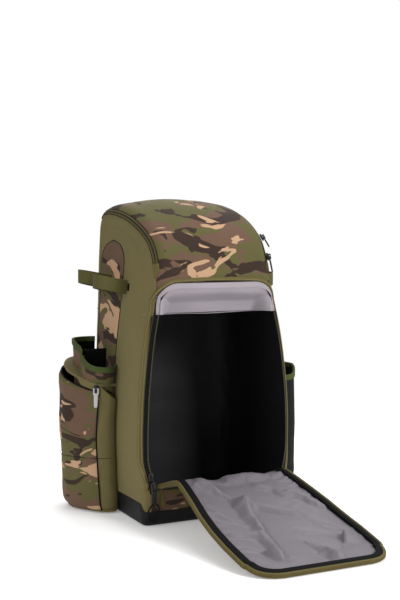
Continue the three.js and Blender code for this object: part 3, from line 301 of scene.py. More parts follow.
def piece_from(name, shape):
    for face in shape.faces:
        face.smooth = True
    mesh = bpy.data.meshes.new(name)
    shape.to_mesh(mesh)
    shape.free()
    piece = bpy.data.objects.new(name, mesh)
    bpy.context.scene.collection.objects.link(piece)
    return piece


def face_out(piece, towards):
    """Turns the cloth so that its faces point towards a direction, or the direction that towards
    gives for a face's middle."""
    mesh = piece.data
    total = 0.0
    for face in mesh.polygons:
        way = towards(face.center / MM) if callable(towards) else towards
        total += face.normal.dot(Vector(way)) * face.area
    if total < 0:
        mesh.flip_normals()
    return piece


def ruffle(piece, broad, fine, seed=0.0):
    """Gives a cloth the small swells and hollows that sewn fabric has, in millimetres."""
    shift = Vector((seed, seed * 1.7, -seed))
    mesh = piece.data
    normals = [vertex.normal.copy() for vertex in mesh.vertices]
    for vertex, normal in zip(mesh.vertices, normals):
        swell = noise.noise(vertex.co * 13 + shift) * broad + noise.noise(vertex.co * 45 + shift) * fine
        vertex.co += normal * swell * MM
    return piece


def walled(piece, thickness, lining=1):
    """Gives a cloth its thickness inwards, with its lining on the inside."""
    wall = piece.modifiers.new("wall", "SOLIDIFY")
    wall.thickness = thickness * MM
    wall.offset = -1
    wall.use_even_offset = False
    wall.material_offset = lining
    wall.material_offset_rim = 0
    return piece


def sewn(piece, towards, thickness, swells, seed, lining=1):
    """Faces a cloth outwards, ruffles it and gives it its thickness."""
    face_out(piece, towards)
    ruffle(piece, *swells, seed)
    return walled(piece, thickness, lining)


def dress(piece, slot, *nodes, materials=()):
    for material in materials:
        piece.data.materials.append(material)
    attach(piece, "root")
    if nodes:
        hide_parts(*nodes)
    return piece


def tone(red, green, blue):
    """A colour from its screen values, 0 to 255, as the shader's linear values."""
    return tuple((c / 255 / 12.92) if c < 11 else ((c / 255 + 0.055) / 1.055) ** 2.4
                 for c in (red, green, blue)) + (1.0,)


class Finish:
    """A material under construction: nodes are added and joined by their sockets' names."""

    def __init__(self, name, roughness, metallic=0.0, sheen=0.0, gloss=0.12):
        self.material = bpy.data.materials.new(name)
        self.material.use_nodes = True
        self.tree = self.material.node_tree
        self.shader = self.tree.nodes["Principled BSDF"]
        self.shader.inputs["Roughness"].default_value = roughness
        self.shader.inputs["Metallic"].default_value = metallic
        self.shader.inputs["Specular IOR Level"].default_value = gloss
        self.shader.inputs["Sheen Weight"].default_value = sheen
        self.shader.inputs["Sheen Roughness"].default_value = 0.5
        self.place = self.tree.nodes.new("ShaderNodeTexCoord")

    def add(self, kind, values=(), **settings):
        node = self.tree.nodes.new("ShaderNode" + kind)
        for key, value in settings.items():
            setattr(node, key, value)
        for key, value in dict(values).items():
            node.inputs[key].default_value = value
        return node

    def join(self, source, target):
        self.tree.links.new(source, target)

    def noise(self, scale, detail=2.0):
        pattern = self.add("TexNoise", {"Scale": scale, "Detail": detail})
        self.join(self.place.outputs["Object"], pattern.inputs["Vector"])
        return pattern

    def wave(self, scale, direction):
        pattern = self.add("TexWave", {"Scale": scale}, wave_type="BANDS", bands_direction=direction)
        self.join(self.place.outputs["UV"], pattern.inputs["Vector"])
        return pattern.outputs["Fac"]

    def ramp(self, source, low, high):
        rise = self.add("MapRange", {"From Min": low, "From Max": high})
        self.join(source, rise.inputs["Value"])
        return rise.outputs["Result"]

    def blend(self, share, first, second):
        join = self.add("Mix", data_type="RGBA")
        sockets = (join.inputs["Factor"], join.inputs[6], join.inputs[7])
        for socket, value in zip(sockets, (share, first, second)):
            if isinstance(value, (tuple, float, int)):
                socket.default_value = value
            else:
                self.join(value, socket)
        return join.outputs[2]

    def sums(self, operation, first, second):
        sum_node = self.add("Math", operation=operation)
        for socket, value in ((sum_node.inputs[0], first), (sum_node.inputs[1], second)):
            if isinstance(value, (float, int)):
                socket.default_value = value
            else:
                self.join(value, socket)
        return sum_node.outputs[0]

    def bump(self, height, distance, strength=1.0):
        relief = self.add("Bump", {"Distance": distance, "Strength": strength})
        self.join(height, relief.inputs["Height"])
        if self.shader.inputs["Normal"].is_linked:
            self.join(self.shader.inputs["Normal"].links[0].from_socket, relief.inputs["Normal"])
        self.join(relief.outputs["Normal"], self.shader.inputs["Normal"])

    def colour(self, source):
        if isinstance(source, tuple):
            self.shader.inputs["Base Color"].default_value = source
        else:
            self.join(source, self.shader.inputs["Base Color"])

    def weave(self, colour, thread=0.9, depth=0.00012, fleck=0.24):
        """Crossing threads in the cloth's own flat coordinates, with flecks of shade from yarn to yarn."""
        scale = 0.314 / (thread * MM)
        threads = self.sums("MAXIMUM", self.wave(scale, "X"), self.wave(scale, "Y"))
        self.bump(threads, depth, 0.6)
        grain = self.noise(520, 2).outputs["Fac"]
        patches = self.noise(9, 3).outputs["Fac"]
        shade = self.sums("ADD", self.sums("MULTIPLY", grain, fleck), self.sums("MULTIPLY", patches, 0.16))
        shade = self.sums("ADD", shade, 1 - (fleck + 0.16) / 2)
        toned = self.add("VectorMath", operation="SCALE")
        if isinstance(colour, tuple):
            toned.inputs[0].default_value = colour[:3]
        else:
            self.join(colour, toned.inputs[0])
        self.join(shade, toned.inputs["Scale"])
        self.join(toned.outputs[0], self.shader.inputs["Base Color"])
        crumple = self.noise(60, 4).outputs["Fac"]
        self.bump(crumple, 0.0006, 0.5)
        return self.material


def olive_finish(name, colour, thread=0.9):
    return Finish(name, 0.8, sheen=0.04).weave(colour, thread)


OLIVE = tone(111, 102, 66)
olive_cloth = olive_finish("olive_cloth", OLIVE)
black_lining = Finish("black_lining", 0.75).weave(tone(13, 13, 15), 0.7)

low_front, low_rear = step_at(24), step_at(34, rear=True)


def side_place(side):
    def place(v, u):
        s = mix(low_front, low_rear, u)
        y, z, out_y, out_z = station(s)
        start = seam_turn(y, z)
        if v < 0.3:
            return skin(s, side, mix(start, math.pi / 2, v / 0.3))
        radius = edge_radius(y, z)
        root_y, root_z = y - out_y * radius, z - out_z * radius
        inner_y, inner_z = clamp(root_y, 30, 80), clamp(root_z, 36, 505)
        share = (v - 0.3) / 0.7
        at_y, at_z = mix(root_y, inner_y, share), mix(root_z, inner_z, share)
        flat_half, edge_half = half_width(at_y, at_z), half_width(y, z)
        return (side * mix(edge_half, flat_half, smooth(share * 3)), at_y, at_z)
    return place


for label, side in SIDES:
    panel = laid(f"side_cloth_{label}", 44, 230, side_place(side), (170, 1250))
    sewn(panel, (side, 0, 0), 2.3, (0.9, 0.25), side * 3.0)
    dress(panel, "olive_cloth", f"side_panel_{label}", materials=(olive_cloth, black_lining))

# Camouflage insets. One arched panel of printed cloth on each side, behind where the bats stand, laid
# over the side panel with its edge turned under.


def camouflage_finish(name):
    """Printed cloth: green ground with taupe, dark brown and tan patches that lie across the cloth."""
    cloth = Finish(name, 0.82, sheen=0.04)
    warp = cloth.noise(7, 2).outputs["Color"]
    centred = cloth.add("VectorMath", operation="SUBTRACT")
    cloth.join(warp, centred.inputs[0])
    centred.inputs[1].default_value = (0.5, 0.5, 0.5)
    small = cloth.add("VectorMath", operation="SCALE")
    small.inputs["Scale"].default_value = 0.06
    cloth.join(centred.outputs[0], small.inputs[0])
    bent = cloth.add("VectorMath", operation="ADD")
    cloth.join(cloth.place.outputs["Object"], bent.inputs[0])
    cloth.join(small.outputs[0], bent.inputs[1])

    def patches(scale, offset, low, detail=2.4):
        spread = cloth.add("Mapping", {"Scale": (1, 0.8, 2.1), "Location": offset})
        cloth.join(bent.outputs[0], spread.inputs["Vector"])
        branching = {"Scale": scale, "Detail": detail, "Roughness": 0.5, "Distortion": 0.9}
        pattern = cloth.add("TexNoise", branching)
        cloth.join(spread.outputs["Vector"], pattern.inputs["Vector"])
        return cloth.ramp(pattern.outputs["Fac"], low, low + 0.01)

    colour = cloth.blend(patches(10.0, (3.1, 0.7, 1.3), 0.492), tone(90, 86, 52), tone(102, 79, 64))
    colour = cloth.blend(patches(12.0, (7.7, 4.2, 2.9), 0.545), colour, tone(56, 43, 36))
    colour = cloth.blend(patches(10.5, (1.9, 8.8, 6.4), 0.588, 2.6), colour, tone(182, 148, 117))
    return cloth.weave(colour, 0.9)


camouflage_cloth = camouflage_finish("camouflage_cloth")


INSET_LOW, INSET_TOP, INSET_ARCH = 46.0, 531.0, 46.0


def inset_place(side):
    def place(u, v):
        z = mix(INSET_LOW, INSET_TOP, v)
        rise = clamp((z - INSET_TOP + INSET_ARCH) / INSET_ARCH)
        draw = INSET_ARCH * (1 - math.sqrt(1 - rise * rise))
        y = mix(6 + draw, 102 - draw, u)
        edge = min(1, 14 * min(u, 1 - u), 40 * min(1 - v, 1))
        return (side * (half_width(y, z) + 1.3 * math.sqrt(max(edge, 0)) - 0.2), y, z)
    return place


for label, side in SIDES:
    inset = laid(f"inset_cloth_{label}", 30, 120, inset_place(side), (96, 485))
    sewn(inset, (side, 0, 0), 2.2, (0.7, 0.25), 5.0 + side)
    dress(inset, "camouflage_cloth", f"side_inset_{label}", materials=(camouflage_cloth, black_lining))

# Hood. One panel of camouflage cloth over foam, from the arch of the front opening up over the top to
# the seam at the back, crowned in the middle.
hood_end = step_at(570, rear=True)


def hood_start(reach):
    half = half_width(FRONT, 440)
    x = reach * (half - 5)
    shoulder = OPENING_TOP - ARCH_RADIUS
    straight = half_width(FRONT, shoulder) - 5 - ARCH_RADIUS
    over = clamp((abs(x) - straight) / ARCH_RADIUS)
    return shoulder + ARCH_RADIUS * math.sqrt(1 - over * over) if over < 1 else shoulder


def hood_place(u, v):
    c = 2 * u - 1
    side = 1 if c >= 0 else -1
    low = step_at(hood_start(abs(c)) - 1)
    s = mix(low, hood_end, v)
    y, z, out_y, out_z = station(s)
    half, radius = half_width(y, z), edge_radius(y, z)
    turn = seam_turn(y, z)
    inner = half - radius
    arc = radius * turn
    reach = abs(c) * (inner + arc)
    if reach <= inner:
        return (side * reach, y, z + crown(z, reach / half))
    return skin(s, side, (reach - inner) / radius)


hood = laid("hood_cloth", 90, 130, hood_place, (270, 330))
sewn(hood, lambda middle: (0, middle.y, middle.z - 350), 2.3, (1.6, 0.3), 9.0)
dress(hood, "camouflage_cloth", "hood_panel", materials=(camouflage_cloth, black_lining))

# Back panel. Olive cloth over a stiff sheet, flat against the wearer, from the base up to the hood.
panel_top, panel_low = step_at(571, rear=True), step_at(36, rear=True)


def back_place(u, v):
    c = 2 * u - 1
    side = 1 if c >= 0 else -1
    s = mix(panel_low, panel_top, v)
    y, z, out_y, out_z = station(s)
    half, radius = half_width(y, z), edge_radius(y, z)
    inner, turn = half - radius, seam_turn(y, z)
    reach = abs(c) * (inner + radius * turn)
    if reach <= inner:
        return (side * reach, y, z)
    return skin(s, side, (reach - inner) / radius)


back = laid("back_cloth", 60, 100, back_place, (310, 530))
sewn(back, (0, 1, 0), 2.3, (0.8, 0.25), 12.0)
dress(back, "olive_cloth", "back_panel", materials=(olive_cloth, black_lining))

# Base. A tub of coated dark cloth with round edges that stands on the floor. It laps 1 mm over the
# panels, lower at the front than at the sides, and its floor is closed.


BASE_LAP = 1.0


def base_ring(u, z, scale=1.0):
    """A point round the base at a height: u runs once round from the middle of the back."""
    radius = edge_radius(0, z) + 2
    foot = 8 * (1 - math.sqrt(1 - clamp((8 - z) / 8) ** 2))  # the round of the lower edge
    high_y = BACK + BASE_LAP - foot
    low_y = np.interp(z, [8, 60, 150], [FRONT + 1.9, FRONT + 1.0, FRONT]) + foot - BASE_LAP
    depth, width = high_y - low_y, 2 * (BODY_HALF * 0.96 + BASE_LAP - foot)
    straight = [width / 2 - radius, depth - 2 * radius, width - 2 * radius, depth - 2 * radius,
                width / 2 - radius]
    arc = radius * math.pi / 2
    runs = [straight[0], arc, straight[1], arc, straight[2], arc, straight[3], arc, straight[4]]
    at = u * sum(runs)
    half = width / 2
    corners = ((half - radius, high_y - radius, 90), (half - radius, low_y + radius, 0),
               (-half + radius, low_y + radius, -90), (-half + radius, high_y - radius, -180))
    x, y, k = 0.0, high_y, 0
    while k < 8 and at > runs[k]:
        at -= runs[k]
        k += 1
    if k == 0:
        x, y = at, high_y
    elif k == 2:
        x, y = half, high_y - radius - at
    elif k == 4:
        x, y = half - radius - at, low_y
    elif k == 6:
        x, y = -half, low_y + radius + at
    elif k == 8:
        x, y = -half + radius + at, high_y
    else:
        cx, cy, start = corners[k // 2]
        a = math.radians(start) - at / radius
        x, y = cx + radius * math.cos(a), cy + radius * math.sin(a)
    x *= (half_width(y, z) + BASE_LAP - foot) / half
    return x * scale, mix(0, y, scale)


def base_place(u, v):
    if v < 0.25:
        x, y = base_ring(u, 0.0, v / 0.25)
        return (x, y, 0.3)
    share = (v - 0.25) / 0.75
    _, y = base_ring(u, 20.0)
    top = mix(27, 42, smooth((y + 124) / 12))
    z = max(share ** 1.4 * top, 0.3)
    x, y = base_ring(u, z)
    return (x, y, z)


base = laid("base_tub_cloth", 240, 34, base_place, (880, 200), closed=True)
face_out(base, lambda middle: (middle.x, middle.y, middle.z - 30))
base_coat = Finish("coated_base", 0.55, gloss=0.2).weave(tone(17, 17, 19), 1.2, fleck=0.2)
walled(base, 2.0)
dress(base, "coated_base", "base_tub", materials=(base_coat, black_lining))

# Front sill. A strip of camouflage cloth across the front between the base and the door's hinge.


def front_depth(z):
    y, at, _, _ = station(step_at(z))
    return y


def surface_front(x, z, lift=0.0):
    """Depth of the body's front at a place across and up, lift outside it."""
    y = front_depth(z)
    half, radius = half_width(y, z), edge_radius(y, z)
    over = clamp((abs(x) - (half - radius)) / (radius + lift))
    return y + radius - (radius + lift) * math.sqrt(max(0, 1 - over * over))


def sill_place(u, v):
    x, z = mix(-143, 143, u), mix(24, 66.5, v)
    return (x, surface_front(x, z, 0.3), z)


sill = laid("sill_cloth", 90, 14, sill_place, (286, 42))
sewn(sill, (0, -1, 0), 2.2, (0.5, 0.2), 14.0)
dress(sill, "camouflage_cloth", "front_sill", materials=(camouflage_cloth, black_lining))

# Divider. A shelf of grey lining under the hood. Its front is a flap, sewn to the arch just behind the
# piping, that slopes back and down to the shelf's edge.
grey_lining = Finish("grey_lining", 0.45, sheen=0.05, gloss=0.3).weave(tone(150, 143, 149), 0.7)


SHELF_HEIGHT, SHELF_FRONT = 393.0, -84.0
WALL_THICKNESS, RIM_TAPE = 2.8, 9.0


def inner_half(y, z):
    depth = y - front_depth(z) - WALL_THICKNESS
    radius = edge_radius(y, z) - WALL_THICKNESS
    over = clamp(1 - depth / radius)
    return half_width(y, z) - 3.6 - radius * (1 - math.sqrt(1 - over * over))


def arch_top(x):
    """Height of the opening's edge over a place across it."""
    shoulder = OPENING_TOP - ARCH_RADIUS
    straight = opening_half(shoulder) - ARCH_RADIUS
    over = clamp((abs(x) - straight) / ARCH_RADIUS)
    return shoulder + ARCH_RADIUS * math.sqrt(1 - over * over) if over > 0 else OPENING_TOP


def flap_place(u, v):
    c = 2 * u - 1
    rim_half = opening_half(OPENING_TOP - ARCH_RADIUS) - 0.5
    x = rim_half * math.copysign(abs(c) ** 0.8, c)
    high = arch_top(x) - 0.6 if abs(c) < 0.999 else SHELF_HEIGHT + 4
    z = mix(high, SHELF_HEIGHT + 0.5, v)
    to_rim = min(high - z, rim_half - abs(x))
    slope = clamp((OPENING_TOP - z) / 58)
    back = 36 * slope * smooth((to_rim - RIM_TAPE) / 30)
    sag = 3.0 * noise.noise(Vector((x * 0.012, z * 0.03, 4.0))) * smooth(to_rim / 20)
    y = surface_front(x, z) - 1.6 + 2.0 * smooth((to_rim - RIM_TAPE) / 6) + back + sag
    return (x, y, z)


def shelf_place(u, v):
    y = mix(SHELF_FRONT, 124.5, v)
    half = inner_half(y, SHELF_HEIGHT)
    return ((2 * u - 1) * half, y, SHELF_HEIGHT - 0.5 + 2 * noise.noise(Vector((u * 3, v * 3, 6.0))))


flap = laid("divider_flap", 120, 40, flap_place, (270, 60))
face_out(flap, (0, -1, 0.3))
walled(flap, 1.2, lining=0)
dress(flap, "grey_lining", "divider_panel", materials=(grey_lining,))
shelf = laid("divider_shelf", 60, 60, shelf_place, (270, 210))
face_out(shelf, (0, 0, 1))
walled(shelf, 1.4, lining=0)
dress(shelf, "grey_lining", materials=(grey_lining,))

# Lining. Thin cloth that covers the main compartment's walls and floor, sewn in at the opening. Its
# near-black
# # colour is painted shade: the lining is taken to be grey, and is darkened to the shadow inside the deep
# compartment.
shaded_inside_lining = Finish("shaded_inside_lining", 0.6, gloss=0.25).weave(tone(24, 24, 27), 0.8)


def inside_wall(u, v):
    z = mix(3, SHELF_HEIGHT - 2, v)
    c, s = math.cos(math.pi * u), max(math.sin(math.pi * u), 0)
    y = mix(-113, 122, s ** 0.25)
    half = inner_half(max(y, -100), z) - 2.2
    slack = 2.4 * noise.noise(Vector((u * 9, v * 5, 2.0)))
    return (-(half - abs(slack)) * math.copysign(abs(c) ** 0.25, c), y - abs(slack) * s, z)


def inside_floor(u, v):
    return ((2 * u - 1) * 142, mix(-112, 120, v), 3.4 + 1.5 * noise.noise(Vector((u * 4, v * 4, 1.0))))


for label, across, along, place in (("walls", 120, 60, inside_wall), ("floor", 40, 40, inside_floor)):
    cover = laid(f"inside_{label}", across, along, place, (700, 390))
    face_out(cover, lambda middle: (-middle.x, -middle.y, 0.5))
    dress(cover, None, materials=(shaded_inside_lining,))

# Hood zipper. Olive tape with a dark coil, sewn along the seam from the front left, round the top of the
# back and down to the front right.
olive_tape = olive_finish("olive_tape", tone(96, 86, 50), 1.4)
black_tape = Finish("black_tape", 0.75).weave(tone(13, 13, 14), 1.2)
dark_coil = Finish("dark_coil", 0.45, gloss=0.4)
dark_coil.colour(tone(26, 24, 20))


def runs_along(places):
    """The way that a line runs at each of its places."""
    last = len(places) - 1
    return [places[min(i + 1, last)] - places[max(i - 1, 0)] for i in range(last + 1)]


def ribbon(name, places, outs, section):
    """A band drawn along places in millimetres. section gives its outline as (across, out) pairs,
    and outs the direction out of the body at each place."""
    runs = [run.normalized() for run in runs_along(places)]
    shape = bmesh.new()
    bmesh.ops.create_grid(shape, x_segments=len(section) - 1, y_segments=len(places) - 1, size=0.5)
    along = np.concatenate([[0], np.cumsum([(b - a).length for a, b in zip(places, places[1:])])])
    around = np.concatenate([[0], np.cumsum([math.dist(a, b) for a, b in zip(section, section[1:])])])
    flat = shape.loops.layers.uv.new("flat")

    def cell(at):
        return round((at.x + 0.5) * (len(section) - 1)), round((at.y + 0.5) * (len(places) - 1))

    for face in shape.faces:
        for corner in face.loops:
            k, i = cell(corner.vert.co)
            corner[flat].uv = (around[k] * MM, along[i] * MM)
    for vertex in shape.verts:
        k, i = cell(vertex.co)
        out = (outs[i] - runs[i] * outs[i].dot(runs[i])).normalized()
        side = runs[i].cross(out)
        vertex.co = (places[i] + side * section[k][0] + out * section[k][1]) * MM
    bmesh.ops.remove_doubles(shape, verts=shape.verts, dist=0.00001)
    bmesh.ops.holes_fill(shape, edges=[edge for edge in shape.edges if edge.is_boundary], sides=0)
    bmesh.ops.recalc_face_normals(shape, faces=shape.faces)
    for edge in shape.edges:
        edge.smooth = edge.calc_face_angle(0) < math.radians(38)
    return piece_from(name, shape)


def repeated(name, places, outs, pitch, size, across=0.0, lift=0.0, skew=0.0):
    """A row of small blocks, such as zipper teeth or stitches, along places in millimetres. size is
    (along, across, out)."""
    steps = np.concatenate([[0], np.cumsum([(b - a).length for a, b in zip(places, places[1:])])])
    shape = bmesh.new()
    for at in np.arange(pitch / 2, steps[-1], pitch):
        i = min(int(np.searchsorted(steps, at, "right")) - 1, len(places) - 2)
        share = (at - steps[i]) / max(steps[i + 1] - steps[i], 1e-9)
        run = (places[i + 1] - places[i]).normalized()
        out = outs[i].lerp(outs[i + 1], share)
        out = (out - run * out.dot(run)).normalized()
        side = run.cross(out)
        centre = places[i].lerp(places[i + 1], share) + side * across + out * lift
        turned = (run * math.cos(skew) + side * math.sin(skew)).normalized()
        block = Matrix((turned * size[0], out.cross(turned) * size[1], out * size[2])).transposed().to_4x4()
        block.translation = centre
        made = bmesh.ops.create_cube(shape, size=1.0, matrix=Matrix.Scale(MM, 4) @ block)
        bmesh.ops.bevel(shape, geom=list({e for v in made["verts"] for e in v.link_edges if abs(
            (e.verts[0].co - e.verts[1].co).normalized().dot(out)) < 0.5}), offset=min(size) * 0.25 * MM,
            segments=1, profile=0.5, affect="EDGES", material=-1)
    return piece_from(name, shape)


def over_body(s, reach, lift=0.0):
    """A place on the hood or back at a length along the outline and a distance round from its middle,
    with the direction out of the body there."""
    side = 1 if reach >= 0 else -1
    y, z, out_y, out_z = station(s)
    half, radius = half_width(y, z), edge_radius(y, z)
    turn = max(abs(reach) - (half - radius), 0) / radius
    if turn > 0:
        place = skin(s, side, turn, lift)
    else:
        place = (reach, y + out_y * lift, z + crown(z, abs(reach) / half) + out_z * lift)
    out = Vector((side * math.sin(turn), out_y * math.cos(turn), out_z * math.cos(turn)))
    return Vector(place), out


def seam_reach(s):
    y, z, _, _ = station(s)
    half, radius = half_width(y, z), edge_radius(y, z)
    return half - radius + radius * seam_turn(y, z)


seam_low, seam_back = step_at(487), step_at(573, rear=True)
seam_path = [(s, -seam_reach(s)) for s in np.linspace(seam_low, seam_back - 18, 56)]
for i in range(1, 7):
    a = i * math.pi / 12
    seam_path.append((seam_back - 18 + 18 * math.sin(a), -seam_reach(seam_back) + 18 * (1 - math.cos(a))))
rear_reach = -seam_path[-1][1]
seam_path += [(seam_back, x) for x in np.linspace(-rear_reach, rear_reach, 27)[1:-1]]
seam_path += [(s, -reach) for s, reach in reversed(seam_path[:62])]
zip_places, zip_outs = zip(*(over_body(s, reach, 0.1) for s, reach in seam_path))
zip_places, zip_outs = list(zip_places), list(zip_outs)
TAPE = ((-5.5, -0.6), (-5.5, 0.5), (-5.0, 1.0), (-1.9, 1.1), (-1.7, 0.7), (1.7, 0.7), (1.9, 1.1),
        (5.0, 1.0), (5.5, 0.5), (5.5, -0.6), (-5.5, -0.6))
hood_zip = ribbon("hood_zip_tape", zip_places, zip_outs, TAPE)
dress(hood_zip, "olive_tape", "hood_zipper", materials=(olive_tape,))
hood_coil = repeated("hood_zip_coil", zip_places, zip_outs, 2.4, (1.5, 3.2, 1.5), lift=1.2)
dress(hood_coil, "olive_tape", materials=(dark_coil.material,))
CORD = tuple((0.8 * math.cos(a), 0.8 * math.sin(a)) for a in np.linspace(0, 2 * math.pi, 7))
for label, across in (("inner", 5.6), ("outer", -5.6)):
    section = [(a + across, b + 0.8) for a, b in CORD]
    edge_cord = ribbon(f"hood_zip_cord_{label}", zip_places, zip_outs, section)
    dress(edge_cord, "olive_tape", materials=(black_tape,))

# Inset shadow line. A thin black cord round each camouflage inset, 0.4 mm off the cloth. It is painted
# # shadow: a dark line along the inset's turned-under edge, where that edge casts shade.
inset_up, inset_over = np.linspace(0, 1, 60), np.linspace(0, 1, 12)[1:-1]
inset_round = [(0, k) for k in inset_up] + [(k, 1) for k in inset_over] + [(1, k) for k in inset_up[::-1]]
for label, side in SIDES:
    sideways = Vector((side, 0, 0))
    places = [Vector(inset_place(side)(u, v)) + sideways * 0.4 for u, v in inset_round]
    shadow_cord = ribbon(f"inset_shadow_cord_{label}", places, [sideways] * len(places), CORD)
    dress(shadow_cord, "black_tape", materials=(black_tape,))

# Sill loops. Two short upright loops of olive tape on the sill, one at each end of the door's hinge,
# sewn down at both ends and bowed 1.5 mm off the cloth between them.
LOOP_OUT, LOOP_LOW, LOOP_HIGH = 121, 34, 58
for label, side in SIDES:
    places = []
    for z in np.linspace(LOOP_LOW, LOOP_HIGH, 9):
        bow = 1.5 * math.sin((z - LOOP_LOW) / (LOOP_HIGH - LOOP_LOW) * math.pi)
        places.append(Vector((side * LOOP_OUT, surface_front(LOOP_OUT, z, 0.6) - bow, z)))
    sill_loop = ribbon(f"sill_loop_{label}", places, [Vector((0, -1, 0))] * len(places),
                       ((-4, -0.8), (-4, 0.9), (4, 0.9), (4, -0.8), (-4, -0.8)))
    dress(sill_loop, "olive_tape", materials=(olive_tape,))

# Zipper ends. Folded olive patches, sewn over both lower ends of the hood's zipper.
for label, side, order in (("left", -1, 1), ("right", 1, -1)):
    low_place, low_out = zip_places[::order][0], zip_outs[::order][0]
    down = (low_place - zip_places[::order][2]).normalized()
    across = down.cross(low_out)
    patch_places = [low_place + down * k for k in np.linspace(-3, 24, 10)]
    patch_outs = [low_out] * len(patch_places)
    patch = ribbon(f"hood_zip_patch_{label}", patch_places, patch_outs,
                   ((-6.5, -1.2), (-6.5, 1.8), (-5.9, 2.3), (5.9, 2.3), (6.5, 1.8), (6.5, -1.2),
                    (-6.5, -1.2)))
    for vertex in patch.data.vertices:
        drop = (vertex.co / MM - low_place).dot(down)
        off = (vertex.co / MM - low_place).dot(across)
        narrow = clamp((drop - 10) / 14)
        outwards = 4.5 * narrow * (1 if across.x * side < 0 else -1)
        vertex.co -= across * (off * 0.75 * narrow + outwards) * MM
        vertex.co -= low_out * 1.6 * narrow * MM
    dress(patch, "olive_tape", materials=(olive_tape,))

# Opening trim. Olive piping with a row of pale stitches runs round the front opening, and the black
# zipper tape with its teeth lies just inside it.


def surface_out(x, z):
    e = 2.0
    slope_x = (surface_front(x + e, z) - surface_front(x - e, z)) / (2 * e)
    slope_z = (surface_front(x, z + e) - surface_front(x, z - e)) / (2 * e)
    return Vector((slope_x, -1, slope_z)).normalized()


def arch_line(inset, low=OPENING_SILL):
    shoulder = OPENING_TOP - ARCH_RADIUS
    right = [(opening_half(z), z, 1.0, 0.0) for z in np.linspace(low, shoulder, 44)]
    straight = opening_half(shoulder) - ARCH_RADIUS
    for a in np.linspace(0, math.pi / 2, 16)[1:]:
        c, s = math.cos(a), math.sin(a)
        right.append((straight + ARCH_RADIUS * c, shoulder + ARCH_RADIUS * s, c, s))
    top = [(straight * k, OPENING_TOP + 2 * (1 - k * k), 0.0, 1.0) for k in np.linspace(1, -1, 25)[1:-1]]
    left = [(-x, z, -a, b) for x, z, a, b in right]
    loop = left + top[::-1] + right[::-1]
    flat = [(x - a * inset, z - b * inset) for x, z, a, b in loop]
    places = [Vector((x, surface_front(x, z), z)) for x, z in flat]
    return places, [surface_out(x, z) for x, z in flat]


PIPING = ((-3.7, -1.2), (-3.6, 0.8), (-2.6, 2.3), (-1.0, 3.0), (1.0, 3.0), (2.6, 2.3), (3.6, 0.8),
          (3.7, -1.2), (-3.7, -1.2))
edge_places, edge_outs = arch_line(-3.9)
piping = ribbon("opening_piping", edge_places, edge_outs, PIPING)
dress(piping, "olive_tape", "opening_binding", materials=(olive_tape,))
pale_thread = Finish("pale_thread", 0.6)
pale_thread.colour(tone(150, 140, 96))
piping_stitch = repeated("opening_stitch", edge_places, edge_outs, 4.2, (2.6, 0.8, 0.7), across=1.6,
                         lift=2.9, skew=0.35)
dress(piping_stitch, "olive_tape", materials=(pale_thread.material,))
tape_places, tape_outs = arch_line(4.8, 60)
front_tape = ribbon("opening_tape", tape_places, tape_outs,
                    ((-4.8, -0.5), (-4.6, 0.9), (4.4, 0.9), (4.6, -0.5), (-4.8, -0.5)))
dress(front_tape, "black_tape", "opening_zipper_tape", materials=(black_tape,))
brass_teeth = Finish("dull_brass", 0.5, gloss=0.4)
brass_teeth.colour(tone(92, 84, 62))
bare = sum(1 for place in tape_places if place.z < 398 and place.x < 0)
for label, run in (("left", slice(0, bare)), ("right", slice(len(tape_places) - bare, None))):
    teeth = repeated(f"opening_teeth_{label}", tape_places[run], tape_outs[run], 3.0, (1.5, 2.0, 1.6),
                     across=3.9, lift=1.0)
    dress(teeth, "black_tape", materials=(brass_teeth.material,))

# Door. The front panel, unzipped and folded down onto the floor, lined in grey. Its lining is slack
# and creased, and the zipper's other half runs round its free edge in an olive band with black tape.
DOOR_ROWS = (
    (0.0, 1.007, 1.0, 0), (0.06, 1.15, 0.95, 4), (0.14, 1.3, 0.88, 10), (0.2, 1.24, 0.895, 11),
    (0.33, 1.02, 0.942, 9), (0.46, 0.78, 0.995, 7), (0.59, 0.55, 1.021, 5), (0.72, 0.36, 1.035, 3),
    (0.84, 0.19, 1.026, 1), (0.94, 0.045, 1.01, 0), (1.0, 0.008, 0.995, 0),
)
HINGE_HALF, DOOR_CORNER = 133.0, 52.0
door_knots = [Vector((FRONT + 4 - out * 386, up * OPENING_SILL)) for out, up, _, _ in DOOR_ROWS]
door_curve = np.array([tuple(point) for point in curve_through(door_knots, 16)])
door_steps = np.concatenate([[0], np.cumsum(np.hypot(*np.diff(door_curve, axis=0).T))])
door_runs = np.gradient(door_curve, axis=0)
DOOR_LENGTH = float(door_steps[-1])


def door_half(v):
    return HINGE_HALF * np.interp(v / DOOR_LENGTH, [r[0] for r in DOOR_ROWS], [r[2] for r in DOOR_ROWS])


def door_point(u, v, w):
    """A point of the door: u across it, v from the hinge and w above its underside."""
    v = clamp(v, 0, DOOR_LENGTH)
    y, z = np.interp(v, door_steps, door_curve[:, 0]), np.interp(v, door_steps, door_curve[:, 1])
    run = Vector((np.interp(v, door_steps, door_runs[:, 0]), np.interp(v, door_steps, door_runs[:, 1])))
    run.normalize()
    sag = np.interp(v / DOOR_LENGTH, [r[0] for r in DOOR_ROWS], [r[3] for r in DOOR_ROWS])
    share = clamp(1 - (u / door_half(v)) ** 2)
    return Vector((u, y + run.y * w, z - run.x * w - share * sag))


def door_inner_half(v, inset):
    """Half width of the door inside its rim."""
    shoulder, end = DOOR_LENGTH - DOOR_CORNER, DOOR_LENGTH - inset
    if v <= shoulder:
        return door_half(v) - inset
    radius = DOOR_CORNER - inset
    over = clamp((v - shoulder) / (end - shoulder))
    return door_half(DOOR_LENGTH) - DOOR_CORNER + radius * math.sqrt(max(0, 1 - over * over))


